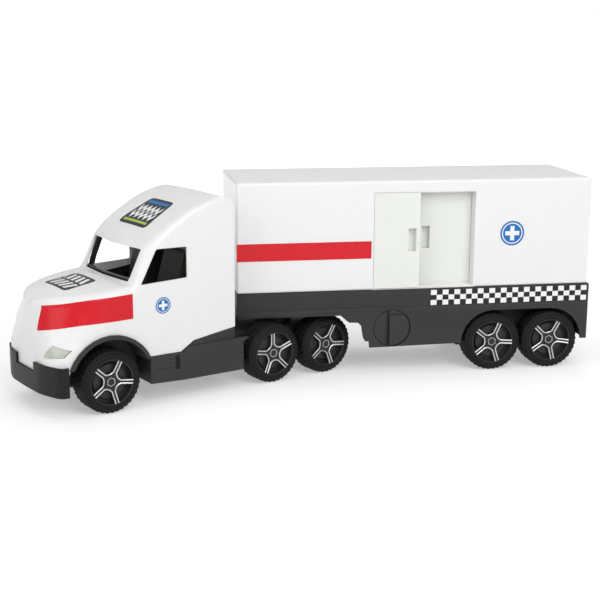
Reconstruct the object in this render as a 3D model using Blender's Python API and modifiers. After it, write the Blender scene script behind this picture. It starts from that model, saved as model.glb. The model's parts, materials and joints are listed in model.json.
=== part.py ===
"""Toy rescue truck: a three-axle tractor coupled to a two-axle box trailer with a sliding side door.

Metres, +Z up. The trailer stands along Y with its front towards -Y, and its left side faces +X.
The tractor is turned about the kingpin. The origin is under the middle of the whole truck, on the floor.
Inside the file the trailer is drawn from its own front wall, the tractor from the kingpin, and the cab
from the tractor's front axle.
"""

import math

import bmesh
import bpy
import numpy as np
from mathutils import Matrix, Vector

PART_NAME = "rescue_truck"

# Fits between pieces
TOUCH_GAP = 0.0003  # between two pieces that are pressed or laid together
RUN_GAP = 0.0004  # between a turning piece and what carries it
SLIDE_GAP = 0.0004  # round a sliding door leaf
CUT_REACH = 0.0100  # how far a cutter runs past the surface that it opens
WELD_GAP = 1e-6  # points nearer than this are one point

# Wheels and axles
WHEEL_RADIUS = 0.0400
WHEEL_FACE_X = 0.0816  # outer face of each wheel from the centre line
TYRE_WIDTH = 0.0340
TYRE_SHOULDER = 0.0060
RIM_RADIUS = 0.0292
RIM_WALL = 0.0016
RIM_FLOOR_DEPTH = 0.0095
RIM_BACK_INSET = 0.0020
HUB_RADIUS = 0.0062
HUB_TIP_RADIUS = 0.0043
SPOKE_COUNT = 5
SPOKE_WIDTH = 0.0056
SPOKE_THICKNESS = 0.0030
SPOKE_ROOT_RADIUS = 0.0078
SPOKE_HUB_DEPTH = 0.0068
SPOKE_TIP_DEPTH = 0.0006
AXLE_RADIUS = 0.0020
AXLE_INSET = 0.0112  # axle end below the wheel face
FRAME_CLEARANCE = 0.0076  # from a tyre's inner face to the frame
WHEEL_STEPS = 24
SHOULDER_STEPS = 2

# Trailer, from its front wall
KINGPIN_Y = 0.0603
STEP_FRONT = 0.1400
LEG_SETBACK = 0.0714  # step to leg pivot
LEG_TO_TANDEM = 0.1426  # leg pivot to front tandem axle
TANDEM_GAP = 0.0028  # between the tyres of the two axles
REAR_OVERHANG = 0.0087  # chassis behind the rear arch
ARCH_CLEARANCE = 0.0050
LEG_Y = STEP_FRONT + LEG_SETBACK
TANDEM_FRONT = LEG_Y + LEG_TO_TANDEM
TANDEM_REAR = TANDEM_FRONT + 2 * WHEEL_RADIUS + TANDEM_GAP
ARCH_RADIUS = WHEEL_RADIUS + ARCH_CLEARANCE
CHASSIS_LENGTH = TANDEM_REAR + ARCH_RADIUS + REAR_OVERHANG

# Trailer box
BOX_HALF_WIDTH = 0.0796
BOX_TOP = 0.2653
BOX_WALL = 0.0025
BOX_EDGE = 0.0032
BOX_REAR_LEDGE = 0.0028  # chassis left showing behind the box
BOX_LENGTH = CHASSIS_LENGTH - BOX_REAR_LEDGE

# Trailer chassis
DECK_TOP = 0.1182
DECK_THICKNESS = 0.0027
SKIRT_WALL = 0.0030
FASCIA_CLEARANCE = 0.0047  # over the tractor's tyres
SKIRT_BOTTOM = 0.0385
STEP_OUTLINE = ((0.0120, 0.0745), (0.0240, 0.0740), (0.0290, 0.0690), (0.0315, 0.0530), (0.0345, 0.0478))
STEP_FOOT = (0.0395, 0.0473)  # rear end of the step, from STEP_FRONT, and its height
STEP_REACH = 0.0406  # front of the deep skirt behind the step's start
RAIL_WALL = 0.0030
RAIL_BOTTOM = 0.0330
RAIL_LEAD = 0.0540  # rails ahead of the front tandem axle
FRAME_HALF_WIDTH = WHEEL_FACE_X - TYRE_WIDTH - FRAME_CLEARANCE
FASCIA_BOTTOM = 2 * WHEEL_RADIUS + FASCIA_CLEARANCE
MIDDLE_WALL_GAP = 0.0006  # from the wall between legs and wheels to the tandem arch
TANDEM_ARCH_STEPS = 6

# Side door of the trailer
DOOR_FRONT = 0.1840
DOOR_LENGTH = 0.1395
DOOR_HEADER = 0.0156
DOOR_REAR = DOOR_FRONT + DOOR_LENGTH
DOOR_TOP = BOX_TOP - DOOR_HEADER
JAMB_WALL = 0.0018
JAMB_LAP = 0.0046  # jamb behind the inner leaf
SILL_THICKNESS = 0.0014
LEAF_THICKNESS = 0.0024
LEAF_INSET = 0.0002  # outer face of the front leaf behind the box side
LEAF_STEP = 0.0184  # from the front leaf's face to the rear leaf's
FRONT_LEAF_X = BOX_HALF_WIDTH - LEAF_INSET
REAR_LEAF_X = FRONT_LEAF_X - LEAF_STEP
FRONT_LEAF_LENGTH = 0.0627
REAR_LEAF_LENGTH = 0.0828
RAIL_HEIGHT = 0.0013
RAIL_WIDTH = 0.0016
PULL_LENGTH = 0.0114
PULL_HEIGHT = 0.0310
PULL_DEPTH = 0.0100
PULL_WALL = 0.0014
PULL_MIDDLE_Z = 0.1855
FRONT_PULL_INSET = 0.0102  # from the front leaf's rear edge
REAR_PULL_INSET = 0.0197  # from the rear leaf's front edge

# Support legs
LEG_Z = 0.0650
LEG_DISC_RADIUS = 0.0248
LEG_RING_GAP = 0.0012  # open ring between the disc and the skirt
LEG_FLANGE = 0.0017  # how far the inner flange reaches past the disc
LEG_FLANGE_THICKNESS = 0.0030
LEG_RECESS = 0.0022  # disc face behind the skirt's face
GRIP_PROUD = 0.0006  # raised part of the disc past the skirt's face
GRIP_INSET = 0.0010  # raised part inside the disc's edge
GRIP_TOP = 0.0175  # its upper corner beside the slot, over the pivot
GRIP_SHOULDER = 50.0  # degrees up to its upper rear corner
GRIP_STEPS = 10
LEG_FOOT_CLEARANCE = 0.0015  # foot above the floor when the leg is down
LEG_WIDTH = 0.0140
LEG_THICKNESS = 0.0060
LEG_ARM_LAP = 0.0005
FOOT_CHAMFER = 0.0042
FOOT_FLAT = 0.0043
LEG_SLOT_WIDTH = 0.0048
LEG_SLOT_OFFSET = 0.0059
LEG_SLOT_DEPTH = 0.0060
DRUM_STEPS = 32

# Tractor frame, from the kingpin
DRIVE_AXLE_Y = -0.0512
DRIVE_GAP = 0.0062  # between the drive and tag tyres
WHEELBASE = 0.2386
TAG_AXLE_Y = DRIVE_AXLE_Y + 2 * WHEEL_RADIUS + DRIVE_GAP
FRONT_AXLE_Y = DRIVE_AXLE_Y - WHEELBASE
FRAME_OVERHANG = 0.0430  # behind the tag axle
FRAME_WALL = 0.0030
FRAME_TOP = 0.0640
FRAME_BOTTOM = 0.0300
FLOOR_THICKNESS = 0.0030
PEDESTAL_RADIUS = 0.0250
PEDESTAL_HEIGHT = 0.0099

# Fifth wheel and kingpin
PLATE_RADIUS = 0.0290
PLATE_THICKNESS = 0.0060
PLATE_CHAMFER = 0.0015
PLATE_LOW = FRAME_TOP + PEDESTAL_HEIGHT + TOUCH_GAP
PLATE_TOP = PLATE_LOW + PLATE_THICKNESS
KINGPIN_RADIUS = 0.0050
KINGPIN_SHANK = 0.0040
KINGPIN_FLANGE = 0.0090
KINGPIN_FLANGE_THICKNESS = 0.0026
KINGPIN_PLAY = 0.0005  # flange above the plate
KINGPIN_REACH = 0.0132  # pin tip below the plate's top
KINGPIN_BOSS = 0.0100
BOSS_BOTTOM = PLATE_TOP + KINGPIN_PLAY + KINGPIN_FLANGE_THICKNESS + TOUCH_GAP
SHANK_COVER = 0.0027  # boss material over the shank
TRACTOR_TURN = math.radians(25.28)

# Front wheel arch
WELL_CLEARANCE = 0.0140
WELL_RADIUS = WHEEL_RADIUS + WELL_CLEARANCE
WELL_WALL = 0.0014
FLARE_WIDTH = 0.0050
LINER_STEPS = 12
ARCH_OPENING_STEPS = 16

# Cab shell, from the front axle; heights are over the floor
CAB_HALF_WIDTH = 0.0780
CAB_WALL = 0.0024
CAB_LOW = FRAME_TOP
FLOOR_TOP = CAB_LOW - TOUCH_GAP
FLOOR_LOW = FLOOR_TOP - FLOOR_THICKNESS
CAB_TO_DRIVE = 0.0603  # from the cab's rear wall to the drive axle
CAB_REAR = WHEELBASE - CAB_TO_DRIVE
NOSE_LOW = 0.0575
NOSE_PIVOT_Y = 0.0098
HOOD_REAR_Y = 0.0328
HOOD_EDGE_INSET = 0.0126
HOOD_EDGE_HALF_WIDTH = CAB_HALF_WIDTH - HOOD_EDGE_INSET
HOOD_EDGE_LENGTH = 0.1040
HOOD_EDGE_HEIGHT = 0.1564
HOOD_EDGE_POWER = 1.85
COWL_RISE = 0.0026  # middle of the hood's rear end over its edge
HOOD_SLOPE = 0.12
HOOD_CROWN = 0.0040
NOSE_ROUND_START = -0.0452
NOSE_ROUND_DROP = 0.0100
SHOULDER_DROP = 0.0125
CORNER_DROP = 0.0006
CORNER_PULL = 0.9  # how far the corner's middle follows the edge along the cab
CROWN_SHARES = (0.45, 0.78)
CORNER_SHARES = (0.25, 0.5, 0.75)
NOSE_FAN_STEPS = 8

# Plan of the nose: depth ahead of the pivot and squareness at each height
NOSE_DROPS = (0.0494, 0.0344, 0.0194)  # its upper heights below the hood's edge
NOSE_HEIGHTS = (0.0570, 0.0760, 0.0790, 0.0830, 0.0910, *(HOOD_EDGE_HEIGHT - drop for drop in NOSE_DROPS))
NOSE_DEPTHS = (0.0880, 0.0880, 0.0880, 0.0878, 0.0875, 0.0860, 0.0825, 0.0780)
NOSE_POWERS = (7.0, 7.0, 6.6, 5.2, 3.1, 2.65, 2.3, 2.0)
SIDE_LEVELS = (NOSE_LOW, 0.0765, 0.0795, 0.0835, 0.0900, HOOD_EDGE_HEIGHT - NOSE_DROPS[0])
SIDE_TOP_REFERENCE = HOOD_EDGE_HEIGHT - 0.0164

# Sections of the cabin behind its middle one, from the rear wall forwards: share of the way back,
# height of the middle, of the edge and of the side's bottom, and the edge's inset from the side
CABIN_MIDDLE_Y = 0.1208
ROOF_SHOULDER = 0.0130  # edge of the roof to the top of the side
REAR_SECTIONS = (
    (1.0000, 0.2440, 0.2405, 0.0852, 0.0125),
    (0.9478, 0.2535, 0.2500, 0.0848, 0.0125),
    (0.8261, 0.2575, 0.2537, 0.0838, 0.0125),
    (0.6174, 0.2580, 0.2537, 0.0820, 0.0125),
    (0.3548, 0.2545, 0.2505, 0.0798, 0.0120),
)
SLOPED_SECTIONS = 7  # from the rear, those along the sloping lower edge of the side

# Sections from the middle one forwards:
# middle (y, z), edge (inset from the side, y, z), top of the side (y, z), bottom of the side (y, z)
FRONT_STATIONS = (
    ((CABIN_MIDDLE_Y, 0.2477), (0.0120, CABIN_MIDDLE_Y, 0.2437), (CABIN_MIDDLE_Y, 0.2307), (0.1143, 0.0758)),
    ((0.0985, 0.2362), (0.0120, 0.0985, 0.2320), (0.0985, 0.2190), (0.0978, 0.0638)),
    ((0.0782, 0.2245), (0.0130, 0.0782, 0.2202), (0.0808, 0.2080), (0.0782, CAB_LOW)),
    ((0.0613, 0.2120), (0.0140, 0.0648, 0.2100), (0.0708, 0.1985), (0.0658, CAB_LOW)),
    ((0.0458, 0.1975), (0.0150, 0.0530, 0.1980), (0.0638, 0.1870), (0.0538, CAB_LOW)),
    ((0.0383, 0.1780), (0.0142, 0.0440, 0.1780), (0.0520, 0.1680), (0.0443, CAB_LOW)),
    (
        (0.0298, HOOD_EDGE_HEIGHT + COWL_RISE),
        (HOOD_EDGE_INSET, HOOD_REAR_Y, HOOD_EDGE_HEIGHT),
        (0.0318, HOOD_EDGE_HEIGHT - SHOULDER_DROP),
        (HOOD_REAR_Y, CAB_LOW),
    ),
)

# Windows of the cab, as (y, z) in the side and (x, z) in front
SIDE_WINDOW_RISE = 0.0026  # its lower rear corner over the hood's edge
SIDE_WINDOW_TIP_RISE = 0.0002
WINDSCREEN_LOW = HOOD_EDGE_HEIGHT + 0.0024
SIDE_WINDOW = (
    (0.0668, 0.1975),
    (0.1073, 0.1965),
    (0.1073, HOOD_EDGE_HEIGHT + SIDE_WINDOW_RISE),
    (0.0448, HOOD_EDGE_HEIGHT + SIDE_WINDOW_TIP_RISE),
)
WINDSCREEN = ((-0.0620, 0.1970), (0.0620, 0.1970), (0.0590, WINDSCREEN_LOW), (-0.0590, WINDSCREEN_LOW))
WINDSCREEN_SPAN = (0.0148, 0.0648)

# Side moulding of the tractor chassis under the cab
SKIRT_FRONT = WELL_RADIUS
FLOOR_LAP = 0.0045
TANK_FACE_X = CAB_HALF_WIDTH + 0.0015
TANK_TOP = 0.0690
TANK_FRONT = 0.1068
TANK_TYRE_GAP = 0.0083
TANK_REAR = WHEELBASE - WHEEL_RADIUS - TANK_TYRE_GAP
TANK_CHAMFER = (0.0090, 0.0060)
TANK_RAMP = 0.0040  # forward end of the tank's top, down to the floor
TANK_BOTTOMS = (0.0286, 0.0265, 0.0262)  # at its front, under the ramp and at its rear
LEDGE_THICKNESS = 0.0025
LEDGE_OVERRUN = 0.0060
SIDE_LAP = 0.0005  # how far inner walls stay inside the faces they meet
PANEL_WALL = 0.0030
PANEL_FACE_X = CAB_HALF_WIDTH - 0.0012
FLARE_FACE_X = CAB_HALF_WIDTH + 0.0038
STEP_SLOT_LOW = (0.0890, 0.0425)
STEP_SLOT_HIGH = (0.0953, 0.0600)

# Front bumper: its lower edge from the middle to the side, as (x, y)
BUMPER_BOTTOM = 0.0292
BUMPER_WALL = 0.0030
BUMPER_SIDE_X = CAB_HALF_WIDTH + 0.0005
BUMPER_STEP_X = 0.0410
BUMPER_FRONT_Y = -0.0792
BUMPER_LOW_EDGE = (
    (0.0, BUMPER_FRONT_Y),
    (0.0200, -0.0788),
    (BUMPER_STEP_X, -0.0777),
    (BUMPER_SIDE_X - 0.0185, -0.0727),
    (BUMPER_SIDE_X - 0.0045, -0.0674),
    (BUMPER_SIDE_X, -0.0627),
)
BUMPER_LEAN = 0.0050
BUMPER_LEAN_POWER = 4
BUMPER_STEP_TOP = 0.0695
BUMPER_SIDE_TOP = 0.0655
FRAME_NOSE_GAP = 0.0016  # frame behind the inside of the nose
FRAME_FRONT = NOSE_PIVOT_Y - NOSE_DEPTHS[0] + CAB_WALL + FRAME_NOSE_GAP
FRAME_REAR = TAG_AXLE_Y + FRAME_OVERHANG

# Headlights, as corners (inset from the side, z) on the nose
HEADLIGHT_CORNERS = ((0.0015, 0.0830), (0.0012, 0.0790), (0.0280, 0.0768), (0.0225, 0.0905))
HEADLIGHT_THICKNESS = 0.0020
HEADLIGHT_SHRINK = 0.0006
HEADLIGHT_CUT = (-0.0060, 0.0040)
HEADLIGHT_STEPS = (6, 2)
HEADLIGHT_TILT = 0.0200

# Seats and floor of the cab insert
INSERT_THICKNESS = 0.0025
INSERT_FRONT = 0.0598
INSERT_SETBACK = 0.0045  # rear edge of the insert ahead of the cab's rear face
INSERT_REAR = CAB_REAR - INSERT_SETBACK
INSERT_BOTTOM = FRAME_TOP + TOUCH_GAP
SEAT_INNER_X = 0.0140
SEAT_OUTER_X = CAB_HALF_WIDTH - 0.0140
SEAT_SETBACK = 0.0040  # rear of the seats ahead of the insert's rear edge
SEAT_REAR = INSERT_REAR - SEAT_SETBACK
SEAT_OUTLINE = (
    (SEAT_REAR, INSERT_BOTTOM),
    (0.0748, INSERT_BOTTOM),
    (0.0728, 0.1100),
    (0.0913, 0.1140),
    (0.1098, 0.1760),
    (0.1128, 0.1860),
    (0.1258, 0.1860),
    (0.1298, 0.1700),
    (0.1258, 0.1500),
    (0.1318, 0.1100),
    (SEAT_REAR, 0.1000),
)


def fresh_scene():
    """An empty scene with one collection for the pieces and a hidden one for the cutters."""
    for item in list(bpy.data.objects):
        bpy.data.objects.remove(item, do_unlink=True)
    pieces = bpy.data.collections.new(PART_NAME)
    helpers = bpy.data.collections.new("cutters")
    helpers.hide_render = True
    for group in (pieces, helpers):
        bpy.context.scene.collection.children.link(group)
    return pieces, helpers


PIECES, HELPERS = fresh_scene()


def plastic(name, colour, roughness, metallic=0.0):
    material = bpy.data.materials.new(name)
    material.use_nodes = True
    shader = material.node_tree.nodes["Principled BSDF"]
    shader.inputs["Base Color"].default_value = (*colour, 1.0)
    shader.inputs["Roughness"].default_value = roughness
    shader.inputs["Metallic"].default_value = metallic
    return material


WHITE = plastic("white_shell", (0.86, 0.86, 0.84), 0.35)
DOOR_WHITE = plastic("door_white", (0.78, 0.79, 0.73), 0.40)
DARK = plastic("dark_moulding", (0.060, 0.058, 0.056), 0.50)
TYRE_GREY = plastic("tyre_grey", (0.055, 0.055, 0.055), 0.65)
RIM_BLACK = plastic("rim_black", (0.030, 0.030, 0.030), 0.40)
LENS_GREY = plastic("headlight_grey", (0.45, 0.47, 0.41), 0.25)
STEEL = plastic("axle_steel", (0.60, 0.60, 0.62), 0.30, 1.0)


# Making objects

def add_piece(name, mesh, material, parent):
    piece = bpy.data.objects.new(name, mesh)
    if not mesh.materials:
        mesh.materials.append(material)
    piece.parent = parent
    PIECES.objects.link(piece)
    return piece


def add_helper(name, mesh, parent=None):
    helper = bpy.data.objects.new(name, mesh)
    helper.parent = parent
    helper.hide_render = True
    helper.display_type = "WIRE"
    HELPERS.objects.link(helper)
    return helper


def frame_empty(name, parent, location=(0.0, 0.0, 0.0), turn=0.0):
    empty = bpy.data.objects.new(name, None)
    empty.location = location
    empty.rotation_euler = (0.0, 0.0, turn)
    empty.parent = parent
    PIECES.objects.link(empty)
    return empty


def boolean(piece, helper, operation):
    change = piece.modifiers.new(f"{operation.lower()}_{helper.name}", "BOOLEAN")
    change.operation = operation
    change.object = helper
    change.solver = "EXACT"


def cut(piece, name, mesh):
    boolean(piece, add_helper(name, mesh, piece.parent), "DIFFERENCE")


def join(piece, name, mesh):
    boolean(piece, add_helper(name, mesh, piece.parent), "UNION")


def smooth(piece, degrees=35.0):
    piece.data.shade_smooth()
    piece.data.set_sharp_from_angle(angle=math.radians(degrees))


def mesh_of(shape, name):
    mesh = bpy.data.meshes.new(name)
    shape.to_mesh(mesh)
    shape.free()
    return mesh


def block(low, high):
    """A box mesh between two opposite corners, in either order."""
    size = Vector([abs(b - a) for a, b in zip(low, high)])
    middle = (Vector(high) + Vector(low)) / 2
    shape = bmesh.new()
    bmesh.ops.create_cube(shape, size=1.0, matrix=Matrix.Translation(middle) @ Matrix.Diagonal((*size, 1.0)))
    return mesh_of(shape, "block")


def evaluated_mesh(item):
    """The finished mesh of a curve or of a mesh with modifiers, and the item is removed."""
    bpy.context.view_layer.update()
    graph = bpy.context.evaluated_depsgraph_get()
    mesh = bpy.data.meshes.new_from_object(item.evaluated_get(graph))
    mesh.transform(item.matrix_world)
    bpy.data.objects.remove(item, do_unlink=True)
    shape = bmesh.new()
    shape.from_mesh(mesh)
    bmesh.ops.remove_doubles(shape, verts=shape.verts, dist=WELD_GAP)
    bmesh.ops.recalc_face_normals(shape, faces=shape.faces)
    shape.to_mesh(mesh)
    shape.free()
    mesh.materials.clear()
    return mesh


OUTLINE_TURNS = {
    "x": Matrix(((0, 0, 1, 0), (1, 0, 0, 0), (0, 1, 0, 0), (0, 0, 0, 1))),
    "y": Matrix(((1, 0, 0, 0), (0, 0, -1, 0), (0, 1, 0, 0), (0, 0, 0, 1))),
    "z": Matrix.Identity(4),
}


def slab(outline, axis, start, end):
    """A flat outline drawn thick from start to end along an axis.

    The outline holds (y, z) for axis x, (x, z) for axis y and (x, y) for axis z.
    """
    curve = bpy.data.curves.new("outline", "CURVE")
    curve.dimensions = "2D"
    curve.fill_mode = "BOTH"
    curve.extrude = abs(end - start) / 2
    line = curve.splines.new("POLY")
    line.points.add(len(outline) - 1)
    for point, place in zip(line.points, outline):
        point.co = (*place, 0.0, 1.0)
    line.use_cyclic_u = True
    item = bpy.data.objects.new("outline", curve)
    middle = (start + end) / 2
    shift = {"x": (middle, 0, 0), "y": (0, middle, 0), "z": (0, 0, middle)}[axis]
    item.matrix_world = Matrix.Translation(shift) @ OUTLINE_TURNS[axis]
    HELPERS.objects.link(item)
    return evaluated_mesh(item)


def turned(profile, steps, closed):
    """A profile of (radius, z) turned about Z; it runs down its outer side."""
    shape = bmesh.new()
    places = [shape.verts.new((radius, 0.0, height)) for radius, height in profile]
    for first, second in zip(places, places[1:]):
        shape.edges.new((first, second))
    if closed:
        shape.edges.new((places[-1], places[0]))
    item = add_helper("turned", mesh_of(shape, "profile"))
    screw = item.modifiers.new("turn", "SCREW")
    screw.steps = steps
    screw.render_steps = steps
    screw.use_merge_vertices = True
    screw.merge_threshold = WELD_GAP
    return evaluated_mesh(item)


def rod(radius, length, steps=16):
    """A cylinder along Z about the origin."""
    shape = bmesh.new()
    bmesh.ops.create_cone(
        shape, cap_ends=True, segments=steps, radius1=radius, radius2=radius, depth=length
    )
    return mesh_of(shape, "rod")


def upright_rod(radius, y, low, high, steps=24):
    """A cylinder along Z at y on the centre line, from low to high."""
    mesh = rod(radius, high - low, steps)
    mesh.transform(Matrix.Translation((0.0, y, (low + high) / 2)))
    return mesh


def cross_rod(radius, place, length, steps=16):
    """A cylinder along X about a place."""
    mesh = rod(radius, length, steps)
    mesh.transform(Matrix.Translation(place) @ Matrix.Rotation(math.pi / 2, 4, "Y"))
    return mesh


def shifted(mesh, y):
    mesh.transform(Matrix.Translation((0.0, y, 0.0)))
    return mesh


def arc(centre, radius, start, end, steps):
    """Points round a centre; angles in degrees from the outline's first axis."""
    angles = np.radians(np.linspace(start, end, steps + 1))
    return [(centre[0] + radius * math.cos(a), centre[1] + radius * math.sin(a)) for a in angles]


def mirrored_outline(outline):
    return [(-first, second) for first, second in reversed(outline)]


def side_signs():
    return (("left", 1.0), ("right", -1.0))


# Wheels

def tyre_mesh():
    """Annular tyre with round shoulders, its outer face on z = 0 and its inner face below."""
    flat_radius = WHEEL_RADIUS / math.cos(math.pi / WHEEL_STEPS)
    inner = RIM_RADIUS + TOUCH_GAP
    shoulder = min(TYRE_SHOULDER, WHEEL_RADIUS - inner - TOUCH_GAP)
    centre_radius = flat_radius - shoulder
    top_shoulder = arc((centre_radius, -shoulder), shoulder, 90.0, 0.0, SHOULDER_STEPS)
    low_shoulder = arc((centre_radius, shoulder - TYRE_WIDTH), shoulder, 0.0, -90.0, SHOULDER_STEPS)
    profile = [(inner, 0.0), *top_shoulder, *low_shoulder, (inner, -TYRE_WIDTH)]
    return turned(profile, WHEEL_STEPS, True)


def star_mesh():
    """Five spokes round a hub, sunk towards the middle as a shallow cone."""
    tip = RIM_RADIUS - RIM_WALL / 2
    half = SPOKE_WIDTH / 2
    outline = []
    for spoke in range(SPOKE_COUNT):
        angle = 2 * math.pi * spoke / SPOKE_COUNT
        along = Vector((math.cos(angle), math.sin(angle)))
        across = Vector((-along.y, along.x))
        between = angle + math.pi / SPOKE_COUNT
        outline += [
            tuple(along * tip - across * half),
            tuple(along * tip + across * half),
            (SPOKE_ROOT_RADIUS * math.cos(between), SPOKE_ROOT_RADIUS * math.sin(between)),
        ]
    mesh = slab(outline, "z", -SPOKE_THICKNESS, 0.0)
    for point in mesh.vertices:
        reach = math.hypot(point.co.x, point.co.y) / tip
        sink = SPOKE_HUB_DEPTH + (SPOKE_TIP_DEPTH - SPOKE_HUB_DEPTH) * reach
        point.co.z -= sink
    return mesh


def rim_mesh():
    """Dished wheel centre with a barrel, a floor, a hub with a blind bore, and spokes."""
    bore = AXLE_RADIUS + TOUCH_GAP / 2
    bore_end = -AXLE_INSET + TOUCH_GAP
    inside = RIM_RADIUS - RIM_WALL
    floor_top = -RIM_FLOOR_DEPTH
    floor_low = floor_top - RIM_WALL
    barrel_low = -TYRE_WIDTH + RIM_BACK_INSET
    hub_top = -SPOKE_HUB_DEPTH - SPOKE_THICKNESS / 2
    profile = [
        (0.0, hub_top),
        (HUB_TIP_RADIUS, hub_top),
        (HUB_RADIUS, floor_top),
        (inside, floor_top),
        (inside, -SPOKE_TIP_DEPTH),
        (RIM_RADIUS, -SPOKE_TIP_DEPTH),
        (RIM_RADIUS, barrel_low),
        (inside, barrel_low),
        (inside, floor_low),
        (HUB_RADIUS, floor_low),
        (HUB_RADIUS, -TYRE_WIDTH),
        (bore, -TYRE_WIDTH),
        (bore, bore_end),
        (0.0, bore_end),
    ]
    body = add_helper("rim_body", turned(profile, WHEEL_STEPS, False))
    star = add_helper("rim_star", star_mesh())
    boolean(body, star, "UNION")
    mesh = evaluated_mesh(body)
    bpy.data.objects.remove(star, do_unlink=True)
    return mesh


def add_wheel_set(name, parent, y, spoke_turn):
    """One steel axle with a tyre and a rim at each end."""
    shaft = add_piece(f"{name}_axle", rod(AXLE_RADIUS, 2 * (WHEEL_FACE_X - AXLE_INSET)), STEEL, parent)
    shaft.location = (0.0, y, WHEEL_RADIUS)
    shaft.rotation_euler = (0.0, math.pi / 2, 0.0)
    smooth(shaft)
    half_facet = math.pi / WHEEL_STEPS
    for side, sign in side_signs():
        for kind, mesh, material, spin in (
            ("tyre", TYRE_MESH, TYRE_GREY, half_facet),
            ("rim", RIM_MESH, RIM_BLACK, math.radians(spoke_turn)),
        ):
            wheel = add_piece(f"{name}_{kind}_{side}", mesh, material, parent)
            wheel.location = (sign * WHEEL_FACE_X, y, WHEEL_RADIUS)
            outward = Matrix.Rotation(sign * math.pi / 2, 3, "Y")
            spun = Matrix.Rotation(spin, 3, "Z")
            wheel.rotation_euler = (outward @ spun).to_euler()
            smooth(wheel)


# Trailer

def add_door_rails(shell, sill_top):
    """Low ribs on the sill and under the header that keep the two leaves in line."""
    front = DOOR_FRONT - JAMB_WALL / 2
    rear = DOOR_REAR + JAMB_WALL / 2
    levels = (
        (sill_top - SILL_THICKNESS / 2, sill_top + RAIL_HEIGHT),
        (DOOR_TOP - RAIL_HEIGHT, DOOR_TOP + JAMB_WALL / 2),
    )
    faces = (
        FRONT_LEAF_X - LEAF_THICKNESS - SLIDE_GAP - RAIL_WIDTH,
        REAR_LEAF_X - LEAF_THICKNESS - SLIDE_GAP - RAIL_WIDTH,
        REAR_LEAF_X + SLIDE_GAP,
    )
    for index, face in enumerate(faces):
        for level, (bottom, top) in enumerate(levels):
            rib = block((face, front, bottom), (face + RAIL_WIDTH, rear, top))
            join(shell, f"door_rail_{index}_{level}", rib)


def make_trailer_box(trailer):
    """White shell of five walls with a deep side doorway and its rails."""
    low = DECK_TOP + TOUCH_GAP
    outside = block((-BOX_HALF_WIDTH, 0.0, low), (BOX_HALF_WIDTH, BOX_LENGTH, BOX_TOP))
    shell = add_piece("trailer_box", outside, WHITE, trailer)
    edge = shell.modifiers.new("round_edges", "BEVEL")
    edge.width = BOX_EDGE
    edge.segments = 3
    edge.limit_method = "ANGLE"
    inner = BOX_HALF_WIDTH - BOX_WALL
    hollow_low = (-inner, BOX_WALL, low - CUT_REACH)
    hollow_high = (inner, BOX_LENGTH - BOX_WALL, BOX_TOP - BOX_WALL)
    cut(shell, "box_hollow", block(hollow_low, hollow_high))
    jamb_inner = REAR_LEAF_X - LEAF_THICKNESS - JAMB_LAP
    frame_low = (jamb_inner, DOOR_FRONT - JAMB_WALL, low)
    frame_high = (BOX_HALF_WIDTH - BOX_WALL / 2, DOOR_REAR + JAMB_WALL, DOOR_TOP + JAMB_WALL)
    join(shell, "door_frame", block(frame_low, frame_high))
    sill_top = low + SILL_THICKNESS
    opening_low = (jamb_inner - CUT_REACH, DOOR_FRONT, sill_top)
    opening_high = (BOX_HALF_WIDTH + CUT_REACH, DOOR_REAR, DOOR_TOP)
    cut(shell, "doorway", block(opening_low, opening_high))
    add_door_rails(shell, sill_top)
    return shell


def make_door_leaf(name, trailer, outer_x, pull_y, front, rear):
    """Door plate with a finger-pull cup behind it."""
    bottom = DECK_TOP + TOUCH_GAP + SILL_THICKNESS + SLIDE_GAP
    top = DOOR_TOP - SLIDE_GAP
    plate = block((outer_x - LEAF_THICKNESS, front, bottom), (outer_x, rear, top))
    leaf = add_piece(name, plate, DOOR_WHITE, trailer)
    floor_x = outer_x - PULL_DEPTH
    front_y, rear_y = pull_y - PULL_LENGTH / 2, pull_y + PULL_LENGTH / 2
    low_z, high_z = PULL_MIDDLE_Z - PULL_HEIGHT / 2, PULL_MIDDLE_Z + PULL_HEIGHT / 2
    cup_low = (floor_x - PULL_WALL, front_y - PULL_WALL, low_z - PULL_WALL)
    cup_high = (outer_x - LEAF_THICKNESS / 2, rear_y + PULL_WALL, high_z + PULL_WALL)
    join(leaf, f"{name}_cup", block(cup_low, cup_high))
    cut(leaf, f"{name}_pull", block((floor_x, front_y, low_z), (outer_x + CUT_REACH, rear_y, high_z)))
    return leaf


def make_door_leaves(trailer):
    front = DOOR_FRONT + SLIDE_GAP
    rear = front + FRONT_LEAF_LENGTH
    make_door_leaf("side_door_front", trailer, FRONT_LEAF_X, rear - FRONT_PULL_INSET, front, rear)
    rear = DOOR_REAR - SLIDE_GAP
    front = rear - REAR_LEAF_LENGTH
    make_door_leaf("side_door_rear", trailer, REAR_LEAF_X, front + REAR_PULL_INSET, front, rear)


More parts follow.
